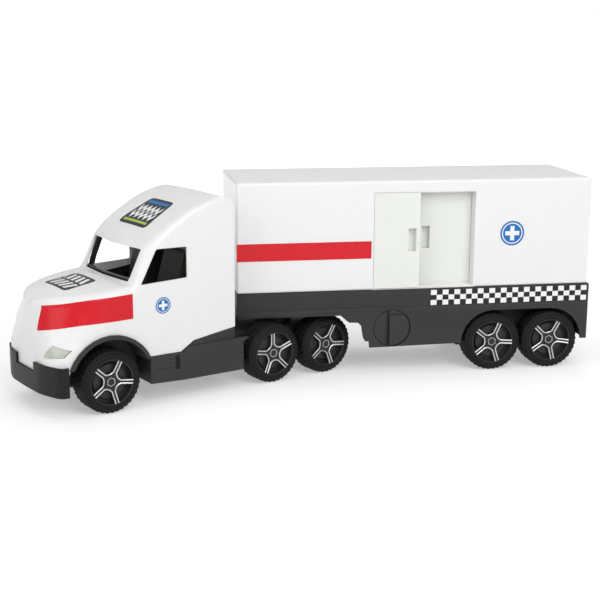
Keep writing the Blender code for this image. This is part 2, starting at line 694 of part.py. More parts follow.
def skirt_outline():
    """Side of the trailer chassis as (y, z): shallow in front, deep behind the step, open over the wheels."""
    top = DECK_TOP - DECK_THICKNESS / 2
    rear_low = WHEEL_RADIUS + TOUCH_GAP
    lift = math.degrees(math.asin(TOUCH_GAP / ARCH_RADIUS))
    return [
        (0.0, top),
        (0.0, FASCIA_BOTTOM),
        (STEP_FRONT, FASCIA_BOTTOM),
        *[(STEP_FRONT + y, z) for y, z in STEP_OUTLINE],
        (STEP_FRONT + STEP_FOOT[0], STEP_FOOT[1]),
        (STEP_FRONT + STEP_REACH, SKIRT_BOTTOM),
        *arc((TANDEM_FRONT, WHEEL_RADIUS), ARCH_RADIUS, 180.0 - lift, 90.0, TANDEM_ARCH_STEPS),
        *arc((TANDEM_REAR, WHEEL_RADIUS), ARCH_RADIUS, 90.0, lift, TANDEM_ARCH_STEPS),
        (CHASSIS_LENGTH, rear_low),
        (CHASSIS_LENGTH, top),
    ]


def make_trailer_chassis(trailer):
    """Dark tub under the box: deck, side skirts, cross walls and the rails that carry the tandem axles."""
    deck_low = DECK_TOP - DECK_THICKNESS
    deck = block((-BOX_HALF_WIDTH, 0.0, deck_low), (BOX_HALF_WIDTH, CHASSIS_LENGTH, DECK_TOP))
    tub = add_piece("trailer_chassis", deck, DARK, trailer)
    deep = DECK_TOP - DECK_THICKNESS / 2
    inner = BOX_HALF_WIDTH - SKIRT_WALL
    for side, sign in side_signs():
        join(tub, f"skirt_{side}", slab(skirt_outline(), "x", sign * inner, sign * BOX_HALF_WIDTH))
        rail_low = (sign * FRAME_HALF_WIDTH, TANDEM_FRONT - RAIL_LEAD, RAIL_BOTTOM)
        rail_high = (sign * (FRAME_HALF_WIDTH - RAIL_WALL), CHASSIS_LENGTH - SKIRT_WALL / 2, deep)
        join(tub, f"tandem_rail_{side}", block(rail_low, rail_high))
    across = BOX_HALF_WIDTH - SKIRT_WALL / 2
    for name, front, low in (
        ("front_wall", 0.0, FASCIA_BOTTOM),
        ("middle_wall", TANDEM_FRONT - ARCH_RADIUS - MIDDLE_WALL_GAP - SKIRT_WALL, SKIRT_BOTTOM),
        ("rear_wall", CHASSIS_LENGTH - SKIRT_WALL, WHEEL_RADIUS + TOUCH_GAP),
    ):
        join(tub, name, block((-across, front, low), (across, front + SKIRT_WALL, deep)))
    join(tub, "kingpin_boss", upright_rod(KINGPIN_BOSS, KINGPIN_Y, BOSS_BOTTOM, deep))
    shank_hole = upright_rod(
        KINGPIN_SHANK + TOUCH_GAP, KINGPIN_Y, BOSS_BOTTOM - CUT_REACH, deck_low - SHANK_COVER
    )
    cut(tub, "kingpin_bore", shank_hole)
    for name, y in (("tandem_front_bore", TANDEM_FRONT), ("tandem_rear_bore", TANDEM_REAR)):
        length = 2 * (FRAME_HALF_WIDTH + CUT_REACH)
        cut(tub, name, cross_rod(AXLE_RADIUS + RUN_GAP, (0.0, y, WHEEL_RADIUS), length))
    for side, sign in side_signs():
        place = (sign * BOX_HALF_WIDTH, LEG_Y, LEG_Z)
        hole = cross_rod(LEG_DISC_RADIUS + LEG_RING_GAP, place, CUT_REACH, DRUM_STEPS)
        cut(tub, f"leg_hole_{side}", hole)
    return tub


def make_kingpin(trailer):
    """Shouldered pin pressed into the boss under the trailer's nose."""
    flange_top = BOSS_BOTTOM - TOUCH_GAP
    flange_low = flange_top - KINGPIN_FLANGE_THICKNESS
    shank_top = DECK_TOP - DECK_THICKNESS - SHANK_COVER - TOUCH_GAP
    tip = PLATE_TOP - KINGPIN_REACH
    profile = [
        (0.0, shank_top),
        (KINGPIN_SHANK, shank_top),
        (KINGPIN_SHANK, flange_top),
        (KINGPIN_FLANGE, flange_top),
        (KINGPIN_FLANGE, flange_low),
        (KINGPIN_RADIUS, flange_low),
        (KINGPIN_RADIUS, tip),
        (0.0, tip),
    ]
    pin = add_piece("kingpin", turned(profile, WHEEL_STEPS, False), STEEL, trailer)
    pin.location = (0.0, KINGPIN_Y, 0.0)
    smooth(pin)
    return pin


def leg_mesh(sign):
    """Support leg about its pivot: a slotted disc with a raised grip, a flange and an arm stowed behind."""
    face = sign * (BOX_HALF_WIDTH - LEG_RECESS)
    grip_face = sign * (BOX_HALF_WIDTH + GRIP_PROUD)
    disc_root = sign * (BOX_HALF_WIDTH - SKIRT_WALL - RUN_GAP)
    flange_root = disc_root - sign * LEG_FLANGE_THICKNESS
    arm_root = disc_root - sign * LEG_THICKNESS

    def drum(name, radius, first, second):
        place = ((first + second) / 2, 0.0, 0.0)
        return add_helper(name, cross_rod(radius, place, abs(second - first), DRUM_STEPS))

    body = drum("leg_body", LEG_DISC_RADIUS, flange_root, face)
    flange = drum("leg_flange", LEG_DISC_RADIUS + LEG_FLANGE, flange_root, disc_root)
    half = LEG_WIDTH / 2
    reach = LEG_Z - LEG_FOOT_CLEARANCE
    outline = [
        (0.0, -half),
        (reach - FOOT_CHAMFER, -half),
        (reach, -FOOT_FLAT),
        (reach, FOOT_FLAT),
        (reach - FOOT_CHAMFER, half),
        (0.0, half),
    ]
    arm = add_helper("leg_arm", slab(outline, "x", arm_root, disc_root - sign * LEG_ARM_LAP))
    slot_rear = LEG_SLOT_WIDTH / 2 - LEG_SLOT_OFFSET
    slot_low = (grip_face - sign * LEG_SLOT_DEPTH, slot_rear - LEG_SLOT_WIDTH, -LEG_DISC_RADIUS - CUT_REACH)
    slot_high = (grip_face + sign * CUT_REACH, slot_rear, LEG_DISC_RADIUS + CUT_REACH)
    slot = add_helper("leg_slot", block(slot_low, slot_high))
    grip_radius = LEG_DISC_RADIUS - GRIP_INSET
    foot_turn = -math.degrees(math.acos(slot_rear / grip_radius))
    grip_outline = arc((0.0, 0.0), grip_radius, foot_turn, GRIP_SHOULDER, GRIP_STEPS)
    grip_outline.append((slot_rear, GRIP_TOP))
    grip = add_helper("leg_grip", slab(grip_outline, "x", face - sign * LEG_RECESS, grip_face))
    for helper in (flange, arm, grip):
        boolean(body, helper, "UNION")
    boolean(body, slot, "DIFFERENCE")
    mesh = evaluated_mesh(body)
    for item in (flange, arm, grip, slot):
        bpy.data.objects.remove(item, do_unlink=True)
    return mesh


def make_support_legs(trailer):
    for side, sign in side_signs():
        leg = add_piece(f"support_leg_{side}", leg_mesh(sign), DARK, trailer)
        leg.location = (0.0, LEG_Y, LEG_Z)
        smooth(leg)


# Tractor chassis

def arch_outline(radius, low):
    """Upper part of a circle round the front axle, cut level at a height, as (y, z)."""
    start = math.degrees(math.asin((low - WHEEL_RADIUS) / radius))
    return arc((0.0, WHEEL_RADIUS), radius, start, 180.0 - start, LINER_STEPS)


def add_channel(chassis):
    """Hollows the frame channel and bores it for the three axles."""
    inner = FRAME_HALF_WIDTH - FRAME_WALL
    front = FRONT_AXLE_Y + FRAME_FRONT + FRAME_WALL
    hollow_low = (-inner, front, FRAME_BOTTOM - CUT_REACH)
    hollow_high = (inner, FRAME_REAR - FRAME_WALL, FRAME_TOP - FRAME_WALL)
    cut(chassis, "channel_hollow", block(hollow_low, hollow_high))
    length = 2 * (FRAME_HALF_WIDTH + CUT_REACH)
    for name, y in (("front", FRONT_AXLE_Y), ("drive", DRIVE_AXLE_Y), ("tag", TAG_AXLE_Y)):
        cut(chassis, f"{name}_bore", cross_rod(AXLE_RADIUS + RUN_GAP, (0.0, y, WHEEL_RADIUS), length))


def add_pedestal(chassis):
    """Round seat for the fifth wheel, bored for the kingpin."""
    low = FRAME_TOP - FRAME_WALL / 2
    join(chassis, "pedestal", upright_rod(PEDESTAL_RADIUS, 0.0, low, PLATE_LOW - TOUCH_GAP, DRUM_STEPS))
    bore = upright_rod(KINGPIN_RADIUS + RUN_GAP, 0.0, FRAME_TOP - CUT_REACH, PLATE_LOW + CUT_REACH)
    cut(chassis, "pedestal_bore", bore)


def tank_outline():
    ramp = TANK_FRONT - TANK_RAMP
    return [
        (SKIRT_FRONT, TANK_BOTTOMS[0]),
        (ramp, TANK_BOTTOMS[1]),
        (TANK_REAR, TANK_BOTTOMS[2]),
        (TANK_REAR, TANK_TOP - TANK_CHAMFER[1]),
        (TANK_REAR + TANK_CHAMFER[0], TANK_TOP),
        (TANK_FRONT, TANK_TOP),
        (ramp, FLOOR_TOP),
        (SKIRT_FRONT, FLOOR_TOP),
    ]


def upper_outline():
    """Inner panel that fills the side up to the cab shell's sloping lower edge."""
    slope = [(low_y, low_z - TOUCH_GAP) for *_, (low_y, low_z) in cabin_stations()[:SLOPED_SECTIONS]]
    return [*slope, (slope[-1][0], FLOOR_LOW), (CAB_REAR, FLOOR_LOW)]


def add_side_moulding(chassis, side, sign):
    """Step, tank, ledge and inner panel on one side under the cab."""
    tank = slab(tank_outline(), "x", sign * (TANK_FACE_X - PANEL_WALL), sign * TANK_FACE_X)
    join(chassis, f"tank_{side}", shifted(tank, FRONT_AXLE_Y))
    upper = slab(upper_outline(), "x", sign * (PANEL_FACE_X - PANEL_WALL), sign * PANEL_FACE_X)
    join(chassis, f"upper_{side}", shifted(upper, FRONT_AXLE_Y))
    outer = TANK_FACE_X - SIDE_LAP
    root = FRAME_HALF_WIDTH - FRAME_WALL / 2
    wall_top = FLOOR_TOP - SIDE_LAP
    ledge_low = (sign * (PANEL_FACE_X - PANEL_WALL), TANK_FRONT, TANK_TOP - LEDGE_THICKNESS)
    ledge_high = (sign * outer, TANK_REAR + LEDGE_OVERRUN, TANK_TOP - SIDE_LAP / 2)
    front_low = (sign * root, SKIRT_FRONT, TANK_BOTTOMS[0] + SIDE_LAP)
    front_high = (sign * outer, SKIRT_FRONT + PANEL_WALL, wall_top)
    rear_low = (sign * root, TANK_REAR - PANEL_WALL, TANK_BOTTOMS[2] + SIDE_LAP)
    rear_high = (sign * outer, TANK_REAR - SIDE_LAP / 2, wall_top)
    for name, low, high in (
        ("ledge", ledge_low, ledge_high),
        ("skirt_front", front_low, front_high),
        ("skirt_rear", rear_low, rear_high),
    ):
        join(chassis, f"{name}_{side}", shifted(block(low, high), FRONT_AXLE_Y))
    slot_low = (sign * (TANK_FACE_X - PANEL_WALL - CUT_REACH), *STEP_SLOT_LOW)
    slot_high = (sign * (TANK_FACE_X + CUT_REACH), *STEP_SLOT_HIGH)
    cut(chassis, f"step_slot_{side}", shifted(block(slot_low, slot_high), FRONT_AXLE_Y))


def add_wheel_well(chassis, side, sign):
    """Arched liner over one front wheel with a wall inside it and a flare outside the cab."""
    cab_face = CAB_HALF_WIDTH + TOUCH_GAP
    low = FLOOR_LOW + FLOOR_THICKNESS / 2
    drum = slab(
        arch_outline(WELL_RADIUS + WELL_WALL, low),
        "x",
        sign * (FRAME_HALF_WIDTH - FRAME_WALL / 2),
        sign * (cab_face + SIDE_LAP),
    )
    join(chassis, f"well_{side}", shifted(drum, FRONT_AXLE_Y))
    flare = slab(arch_outline(WELL_RADIUS + FLARE_WIDTH, low), "x", sign * cab_face, sign * FLARE_FACE_X)
    join(chassis, f"flare_{side}", shifted(flare, FRONT_AXLE_Y))
    room = slab(
        arch_outline(WELL_RADIUS, FLOOR_LOW - SIDE_LAP),
        "x",
        sign * (FRAME_HALF_WIDTH + WELL_WALL),
        sign * (FLARE_FACE_X + CUT_REACH),
    )
    cut(chassis, f"well_room_{side}", shifted(room, FRONT_AXLE_Y))


def make_tractor_chassis(tractor):
    """One dark moulding: frame channel, cab floor, tanks, wheel wells and the fifth-wheel pedestal."""
    channel_low = (-FRAME_HALF_WIDTH, FRONT_AXLE_Y + FRAME_FRONT, FRAME_BOTTOM)
    channel = block(channel_low, (FRAME_HALF_WIDTH, FRAME_REAR, FRAME_TOP))
    chassis = add_piece("tractor_chassis", channel, DARK, tractor)
    add_channel(chassis)
    add_pedestal(chassis)
    across = PANEL_FACE_X - PANEL_WALL / 2
    floor = block((-across, SKIRT_FRONT - FLOOR_LAP, FLOOR_LOW), (across, TANK_REAR, FLOOR_TOP))
    join(chassis, "cab_floor", shifted(floor, FRONT_AXLE_Y))
    for side, sign in side_signs():
        add_side_moulding(chassis, side, sign)
        add_wheel_well(chassis, side, sign)
    return chassis


def make_fifth_wheel(tractor):
    """Round coupling plate on the pedestal, with the hole that the kingpin turns in."""
    hole = KINGPIN_RADIUS + RUN_GAP
    profile = [
        (hole, PLATE_TOP),
        (PLATE_RADIUS - PLATE_CHAMFER, PLATE_TOP),
        (PLATE_RADIUS, PLATE_TOP - PLATE_CHAMFER),
        (PLATE_RADIUS, PLATE_LOW),
        (hole, PLATE_LOW),
    ]
    plate = add_piece("fifth_wheel", turned(profile, DRUM_STEPS, True), DARK, tractor)
    smooth(plate)
    return plate


# Cab surface

def cabin_stations():
    """Sections of the cabin from the rear wall forwards: middle, edge, side top and side bottom."""
    stations = []
    for share, middle_z, edge_z, low_z, inset in REAR_SECTIONS:
        y = CABIN_MIDDLE_Y + (CAB_REAR - CABIN_MIDDLE_Y) * share
        stations.append(((y, middle_z), (inset, y, edge_z), (y, edge_z - ROOF_SHOULDER), (y, low_z)))
    return [*stations, *FRONT_STATIONS]


def hood_edge(y):
    """Half width and height of the hood's long edge at y."""
    share = min(1.0, max(0.0, (HOOD_REAR_Y - y) / HOOD_EDGE_LENGTH))
    half_width = HOOD_EDGE_HALF_WIDTH * (1.0 - share**HOOD_EDGE_POWER) ** (1 / HOOD_EDGE_POWER)
    height = HOOD_EDGE_HEIGHT - HOOD_SLOPE * (HOOD_REAR_Y - y)
    tip = HOOD_REAR_Y - HOOD_EDGE_LENGTH
    if y < NOSE_ROUND_START:
        reach = min(1.0, (NOSE_ROUND_START - y) / (NOSE_ROUND_START - tip))
        height -= NOSE_ROUND_DROP * (1.0 - math.sqrt(1.0 - reach**2))
    return half_width, height


def hood_middle(y):
    """Height of the hood's centre line at y."""
    tip = HOOD_REAR_Y - HOOD_EDGE_LENGTH
    share = min(1.0, max(0.0, (NOSE_PIVOT_Y - y) / (NOSE_PIVOT_Y - tip)))
    return hood_edge(y)[1] + HOOD_CROWN * (1.0 - share**2)


def nose_plan(height):
    depth = np.interp(height, NOSE_HEIGHTS, NOSE_DEPTHS)
    power = np.interp(height, NOSE_HEIGHTS, NOSE_POWERS)
    return depth, power


def nose_reach(angle, height):
    """Distance from the nose pivot to the outer surface, at an angle forward of +X and a height."""
    depth, power = nose_plan(height)
    across = abs(math.cos(angle)) / CAB_HALF_WIDTH
    along = abs(math.sin(angle)) / depth
    return (across**power + along**power) ** (-1.0 / power)


def nose_y(x, height):
    """Front surface of the nose at a half width and a height."""
    depth, power = nose_plan(height)
    share = min(1.0, abs(x) / CAB_HALF_WIDTH)
    return NOSE_PIVOT_Y - depth * (1.0 - share**power) ** (1.0 / power)


def hood_edge_reach(angle):
    """Distance from the nose pivot to the hood's edge, found by halving."""
    near, far = 0.0, HOOD_EDGE_LENGTH
    for _ in range(40):
        middle = (near + far) / 2
        x, y = middle * math.cos(angle), NOSE_PIVOT_Y - middle * math.sin(angle)
        inside = y > HOOD_REAR_Y - HOOD_EDGE_LENGTH and x < hood_edge(y)[0]
        near, far = (middle, far) if inside else (near, middle)
    return near


def bend(start, control, end, share):
    return start * (1 - share) ** 2 + control * 2 * share * (1 - share) + end * share**2


def cab_row(crown, edge, corner, side_top, side_points):
    """One line of points from the centre line over the edge and down the side."""
    rounding = [bend(edge, corner, side_top, share) for share in CORNER_SHARES]
    return [*crown, edge, *rounding, side_top, *side_points]


def cabin_row(station):
    (mid_y, mid_z), (inset, edge_y, edge_z), (side_y, side_z), (low_y, low_z) = station
    middle = Vector((0.0, mid_y, mid_z))
    edge = Vector((CAB_HALF_WIDTH - inset, edge_y, edge_z))
    top = Vector((CAB_HALF_WIDTH, side_y, side_z))
    bottom = Vector((CAB_HALF_WIDTH, low_y, low_z))
    crown = [middle]
    for share in CROWN_SHARES:
        place = middle.lerp(edge, share)
        place.z = middle.z - (middle.z - edge.z) * share**2
        crown.append(place)
    corner = Vector((CAB_HALF_WIDTH, top.y + (edge.y - top.y) * CORNER_PULL, edge.z - CORNER_DROP))
    shares = [(level - NOSE_LOW) / (SIDE_TOP_REFERENCE - NOSE_LOW) for level in SIDE_LEVELS]
    side = [bottom.lerp(top, share) for share in reversed(shares)]
    return cab_row(crown, edge, corner, top, side)


def fan_row(angle):
    """One upright section of the nose through the pivot."""
    direction = Vector((math.cos(angle), -math.sin(angle), 0.0))
    pivot = Vector((0.0, NOSE_PIVOT_Y, 0.0))
    edge = pivot + direction * hood_edge_reach(angle)
    edge.z = hood_edge(edge.y)[1]
    middle = pivot.copy()
    middle.z = hood_middle(NOSE_PIVOT_Y)
    side_z = edge.z - SHOULDER_DROP
    side = pivot + direction * nose_reach(angle, side_z)
    side.z = side_z
    points = []
    for level in reversed(SIDE_LEVELS):
        place = pivot + direction * nose_reach(angle, level)
        place.z = level
        points.append(place)
    crown = [middle]
    for share in CROWN_SHARES:
        place = middle.lerp(edge, share)
        half_width, height = hood_edge(place.y)
        rise = hood_middle(place.y) - height
        place.z = height + rise * (1.0 - min(1.0, place.x / max(half_width, TOUCH_GAP)) ** 2)
        crown.append(place)
    corner = Vector((side.x, side.y, edge.z - CORNER_DROP))
    row = cab_row(crown, edge, corner, side, points)
    if math.cos(angle) < WELD_GAP:
        for place in row:
            place.x = 0.0
    return row


def cab_rows():
    """All lines of the half cab, from the rear wall to the middle of the nose."""
    rows = [cabin_row(station) for station in cabin_stations()]
    y = (HOOD_REAR_Y + NOSE_PIVOT_Y) / 2
    half_width, height = hood_edge(y)
    edge = (CAB_HALF_WIDTH - half_width, y, height)
    rows.append(cabin_row(((y, hood_middle(y)), edge, (y, height - SHOULDER_DROP), (y, CAB_LOW))))
    rows += [fan_row(angle) for angle in np.linspace(0.0, math.pi / 2, NOSE_FAN_STEPS + 1)]
    return rows


def skin_mesh(rows):
    """Both halves of the open cab surface through the rows, with its rear wall, facing out."""
    shape = bmesh.new()
    for sign in (1.0, -1.0):
        grid = [[shape.verts.new((sign * p.x, p.y, p.z)) for p in row] for row in rows]
        for line, ahead in zip(grid, grid[1:]):
            for k in range(len(line) - 1):
                corners = [line[k], line[k + 1], ahead[k + 1], ahead[k]]
                shape.faces.new(corners if sign < 0 else corners[::-1])
        first = grid[0]
        corners = first + [shape.verts.new((0.0, first[-1].co.y, first[-1].co.z))]
        shape.faces.new(corners if sign > 0 else corners[::-1])
    bmesh.ops.remove_doubles(shape, verts=shape.verts, dist=WELD_GAP)
    bmesh.ops.dissolve_degenerate(shape, edges=shape.edges, dist=WELD_GAP)
    return mesh_of(shape, "skin")


def thicken(piece, wall):
    solid = piece.modifiers.new("wall", "SOLIDIFY")
    solid.thickness = wall
    solid.offset = -1.0
    solid.use_even_offset = True
    solid.thickness_clamp = 0.0


def arch_opening():
    """Room for the wheel well in the cab's sides, as (y, z); its flats clear the round liner."""
    radius = (WELL_RADIUS + WELL_WALL + TOUCH_GAP) / math.cos(math.pi / ARCH_OPENING_STEPS / 2)
    low = WHEEL_RADIUS - CUT_REACH
    return arc((0.0, WHEEL_RADIUS), radius, 0.0, 180.0, ARCH_OPENING_STEPS) + [(-radius, low), (radius, low)]


def bumper_step(sign):
    """Room for one raised corner of the bumper in the nose, as (x, z)."""
    outer = CAB_HALF_WIDTH + CUT_REACH
    low = NOSE_LOW - CUT_REACH
    step = [
        (BUMPER_STEP_X - TOUCH_GAP, low),
        (BUMPER_STEP_X - TOUCH_GAP, BUMPER_STEP_TOP + TOUCH_GAP),
        (BUMPER_SIDE_X, BUMPER_SIDE_TOP + TOUCH_GAP),
        (outer, BUMPER_SIDE_TOP + TOUCH_GAP),
        (outer, low),
    ]
    return step if sign > 0 else mirrored_outline(step)


def make_cab_shell(cab):
    """White cab: roof, sides, rear wall and hood in one thin moulding, open below."""
    shell = add_piece("cab_shell", skin_mesh(cab_rows()), WHITE, cab)
    thicken(shell, CAB_WALL)
    across = CAB_HALF_WIDTH + CUT_REACH
    cut(shell, "side_windows", slab(SIDE_WINDOW, "x", -across, across))
    cut(shell, "windscreen", slab(WINDSCREEN, "y", *WINDSCREEN_SPAN))
    cut(shell, "wheel_arches", slab(arch_opening(), "x", -across, across))
    nose_front = BUMPER_FRONT_Y - BUMPER_LEAN - CUT_REACH
    for side, sign in side_signs():
        cut(shell, f"bumper_step_{side}", slab(bumper_step(sign), "y", nose_front, -WHEEL_RADIUS))
        cut(shell, f"headlight_opening_{side}", headlight_patch(sign, *HEADLIGHT_CUT, 0.0))
    smooth(shell, 30.0)
    return shell


def headlight_layer(shape, sign, corners, offset):
    """Rows of points over the nose between four corners, pushed out by an offset."""
    along_steps, up_steps = HEADLIGHT_STEPS
    layer = []
    for i in range(along_steps + 1):
        line = []
        low = corners[1].lerp(corners[2], i / along_steps)
        high = corners[0].lerp(corners[3], i / along_steps)
        for k in range(up_steps + 1):
            x, z = low.lerp(high, k / up_steps)
            y = nose_y(x, z)
            out = Vector((x, y - NOSE_PIVOT_Y, HEADLIGHT_TILT)).normalized()
            place = Vector((x, y, z)) + out * offset
            line.append(shape.verts.new((sign * place.x, place.y, place.z)))
        layer.append(line)
    return layer


def headlight_patch(sign, inner, outer, shrink):
    """A slice of the nose surface between the headlight's corners, from inner to outer offsets."""
    corners = [Vector((CAB_HALF_WIDTH - inset, z)) for inset, z in HEADLIGHT_CORNERS]
    middle = sum(corners, Vector((0.0, 0.0))) / len(corners)
    corners = [corner + (middle - corner).normalized() * shrink for corner in corners]
    shape = bmesh.new()
    low = headlight_layer(shape, sign, corners, inner)
    high = headlight_layer(shape, sign, corners, outer)
    along_steps, up_steps = HEADLIGHT_STEPS
    for i in range(along_steps):
        for k in range(up_steps):
            for layer in (low, high):
                shape.faces.new([layer[i][k], layer[i + 1][k], layer[i + 1][k + 1], layer[i][k + 1]])
    border = [(i, 0) for i in range(along_steps)] + [(along_steps, k) for k in range(up_steps)]
    border += [(i, up_steps) for i in range(along_steps, 0, -1)] + [(0, k) for k in range(up_steps, 0, -1)]
    for (i, k), (m, n) in zip(border, border[1:] + border[:1]):
        shape.faces.new([high[m][n], high[i][k], low[i][k], low[m][n]])
    bmesh.ops.recalc_face_normals(shape, faces=shape.faces)
    return mesh_of(shape, "headlight")


def make_headlights(cab):
    for side, sign in side_signs():
        patch = headlight_patch(sign, -HEADLIGHT_THICKNESS, 0.0, HEADLIGHT_SHRINK)
        smooth(add_piece(f"headlight_{side}", patch, LENS_GREY, cab))


def bumper_plan():
    """Plan of the bumper's lower edge from the right end round to the left end."""
    reach = WELL_RADIUS + FLARE_WIDTH + TOUCH_GAP
    rise = FLOOR_LOW - WHEEL_RADIUS
    end = (BUMPER_SIDE_X + SIDE_LAP, -math.sqrt(reach**2 - rise**2))
    half = [*BUMPER_LOW_EDGE, end]
    return [Vector(place) for place in mirrored_outline(half)[:-1] + half]


def bumper_line(shape, plan, height, raised):
    """Points of the bumper at one height; the raised line exists only at the corners."""
    middle_top = NOSE_LOW - TOUCH_GAP
    share = min(1.0, (height - BUMPER_BOTTOM) / (middle_top - BUMPER_BOTTOM))
    line = []
    for place in plan:
        forward = BUMPER_LEAN * share * max(0.0, 1.0 - (abs(place.x) / BUMPER_SIDE_X) ** BUMPER_LEAN_POWER)
        outward = (abs(place.x) - BUMPER_STEP_X) / (BUMPER_SIDE_X - BUMPER_STEP_X)
        top = BUMPER_STEP_TOP + (BUMPER_SIDE_TOP - BUMPER_STEP_TOP) * min(1.0, outward)
        level = top if raised else height
        present = not raised or outward > -WELD_GAP
        line.append(shape.verts.new((place.x, place.y - forward, level)) if present else None)
    return line


def make_bumper(cab):
    """Front bumper: a thin wall round the nose, leaning forwards, with raised corners."""
    shape = bmesh.new()
    plan = bumper_plan()
    middle_top = NOSE_LOW - TOUCH_GAP
    heights = (BUMPER_BOTTOM, (BUMPER_BOTTOM + middle_top) / 2, middle_top)
    lines = [bumper_line(shape, plan, height, False) for height in heights]
    lines.append(bumper_line(shape, plan, BUMPER_STEP_TOP, True))
    for line, above in zip(lines, lines[1:]):
        for k in range(len(line) - 1):
            if above[k] and above[k + 1]:
                shape.faces.new([line[k], line[k + 1], above[k + 1], above[k]])
    bumper = add_piece("front_bumper", mesh_of(shape, "bumper"), DARK, cab)
    thicken(bumper, BUMPER_WALL)
    return bumper


def make_cab_insert(cab):
    """Dark insert inside the cab: floor pan and two reclined seats."""
    inner = PANEL_FACE_X - PANEL_WALL - TOUCH_GAP
    floor_high = (inner, INSERT_REAR, INSERT_BOTTOM + INSERT_THICKNESS)
    insert = add_piece("cab_insert", block((-inner, INSERT_FRONT, INSERT_BOTTOM), floor_high), DARK, cab)
    for side, sign in side_signs():
        join(insert, f"seat_{side}", slab(SEAT_OUTLINE, "x", sign * SEAT_INNER_X, sign * SEAT_OUTER_X))
    return insert


def settle(root):
    """Moves the whole truck so that the origin is under the middle of its box, on the floor."""
    bpy.context.view_layer.update()
    graph = bpy.context.evaluated_depsgraph_get()
    corners = []
    for piece in PIECES.objects:
        if piece.type == "MESH":
            shape = piece.evaluated_get(graph)
            mesh = shape.to_mesh()
            corners += [shape.matrix_world @ point.co for point in mesh.vertices]
            shape.to_mesh_clear()
    low = [min(corner[k] for corner in corners) for k in range(3)]
    high = [max(corner[k] for corner in corners) for k in range(3)]
    root.location = (-(low[0] + high[0]) / 2, -(low[1] + high[1]) / 2, -low[2])
    bpy.context.view_layer.update()
    print("trailer origin at", tuple(round(value, 6) for value in root.location))


ROOT = frame_empty("truck_root", None)
TRAILER = frame_empty("trailer_frame", ROOT)
TRACTOR = frame_empty("tractor_frame", TRAILER, (0.0, KINGPIN_Y, 0.0), TRACTOR_TURN)
CAB = frame_empty("cab_frame", TRACTOR, (0.0, FRONT_AXLE_Y, 0.0))
TYRE_MESH = tyre_mesh()
RIM_MESH = rim_mesh()

make_trailer_box(TRAILER)
make_door_leaves(TRAILER)
make_trailer_chassis(TRAILER)
make_kingpin(TRAILER)
make_support_legs(TRAILER)
add_wheel_set("trailer_front", TRAILER, TANDEM_FRONT, -56.0)
add_wheel_set("trailer_rear", TRAILER, TANDEM_REAR, -61.2)
make_tractor_chassis(TRACTOR)
make_fifth_wheel(TRACTOR)
make_cab_shell(CAB)
make_headlights(CAB)
make_bumper(CAB)
make_cab_insert(CAB)
add_wheel_set("tractor_front", TRACTOR, FRONT_AXLE_Y, -65.8)
add_wheel_set("tractor_drive", TRACTOR, DRIVE_AXLE_Y, -29.2)
add_wheel_set("tractor_tag", TRACTOR, TAG_AXLE_Y, -57.9)
settle(ROOT)
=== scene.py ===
import json
import math

import bmesh
import bpy
import numpy as np
from mathutils import Matrix, Vector
from mathutils.bvhtree import BVHTree


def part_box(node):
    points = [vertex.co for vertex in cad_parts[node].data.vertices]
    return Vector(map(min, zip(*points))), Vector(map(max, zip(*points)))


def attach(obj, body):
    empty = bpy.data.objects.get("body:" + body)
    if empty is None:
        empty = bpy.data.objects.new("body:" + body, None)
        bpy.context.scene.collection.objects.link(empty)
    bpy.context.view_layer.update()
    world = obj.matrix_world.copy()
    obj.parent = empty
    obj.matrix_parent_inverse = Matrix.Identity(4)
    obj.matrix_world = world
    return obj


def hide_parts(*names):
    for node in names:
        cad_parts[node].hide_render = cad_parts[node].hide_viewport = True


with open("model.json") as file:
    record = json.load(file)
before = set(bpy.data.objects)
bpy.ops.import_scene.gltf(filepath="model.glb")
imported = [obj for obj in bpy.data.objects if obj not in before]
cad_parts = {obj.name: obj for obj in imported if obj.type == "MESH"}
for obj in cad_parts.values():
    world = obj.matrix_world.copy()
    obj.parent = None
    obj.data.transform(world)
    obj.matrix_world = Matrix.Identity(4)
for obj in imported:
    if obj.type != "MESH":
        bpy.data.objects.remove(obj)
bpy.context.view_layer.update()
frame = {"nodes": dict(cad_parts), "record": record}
joints = {joint["name"]: joint for joint in frame["record"]["behaviour"]["joints"]}
print("frame loaded:", len(frame["nodes"]), "nodes")


# Places

sides = (("left", 1.0), ("right", -1.0))


def jointFrame(name):  # upright frame under a rolling axle, x along the axle
    place, axis = joints[name]["pos_m"], joints[name]["axis"]
    turn = math.atan2(axis[1], axis[0])
    return Matrix.Translation((place[0], place[1], 0.0)) @ Matrix.Rotation(turn, 4, "Z")


boxLow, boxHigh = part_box("trailer_box")
trailerFrame = Matrix.Translation(((boxLow[0] + boxHigh[0]) / 2, boxLow[1], 0.0))
cabFrame = jointFrame("tractor_front_roll")


# Camera, as the photograph was taken

camera = {
    "place": (1.6017, -0.2876, 0.4756),
    "target": (-0.0590, 0.0013, 0.0898),
    "lens": 74.2,
    "sensor": 36.0,
    "roll": 0.29,
}


def addCamera():
    data = bpy.data.cameras.new("photoCamera")
    data.lens = camera["lens"]
    data.sensor_width = camera["sensor"]
    data.clip_end = 20.0
    item = bpy.data.objects.new("photoCamera", data)
    look = Vector(camera["target"]) - Vector(camera["place"])
    aim = look.to_track_quat("-Z", "Y").to_matrix().to_4x4()
    roll = Matrix.Rotation(math.radians(camera["roll"]), 4, "Z")
    item.matrix_world = Matrix.Translation(camera["place"]) @ aim @ roll
    bpy.context.scene.collection.objects.link(item)
    bpy.context.scene.camera = item


addCamera()


# Shader maths

def operator(operation, reflected=False):
    def method(self, other=0.0):
        return self.maths(operation, *((other, self) if reflected else (self, other)))
    return method


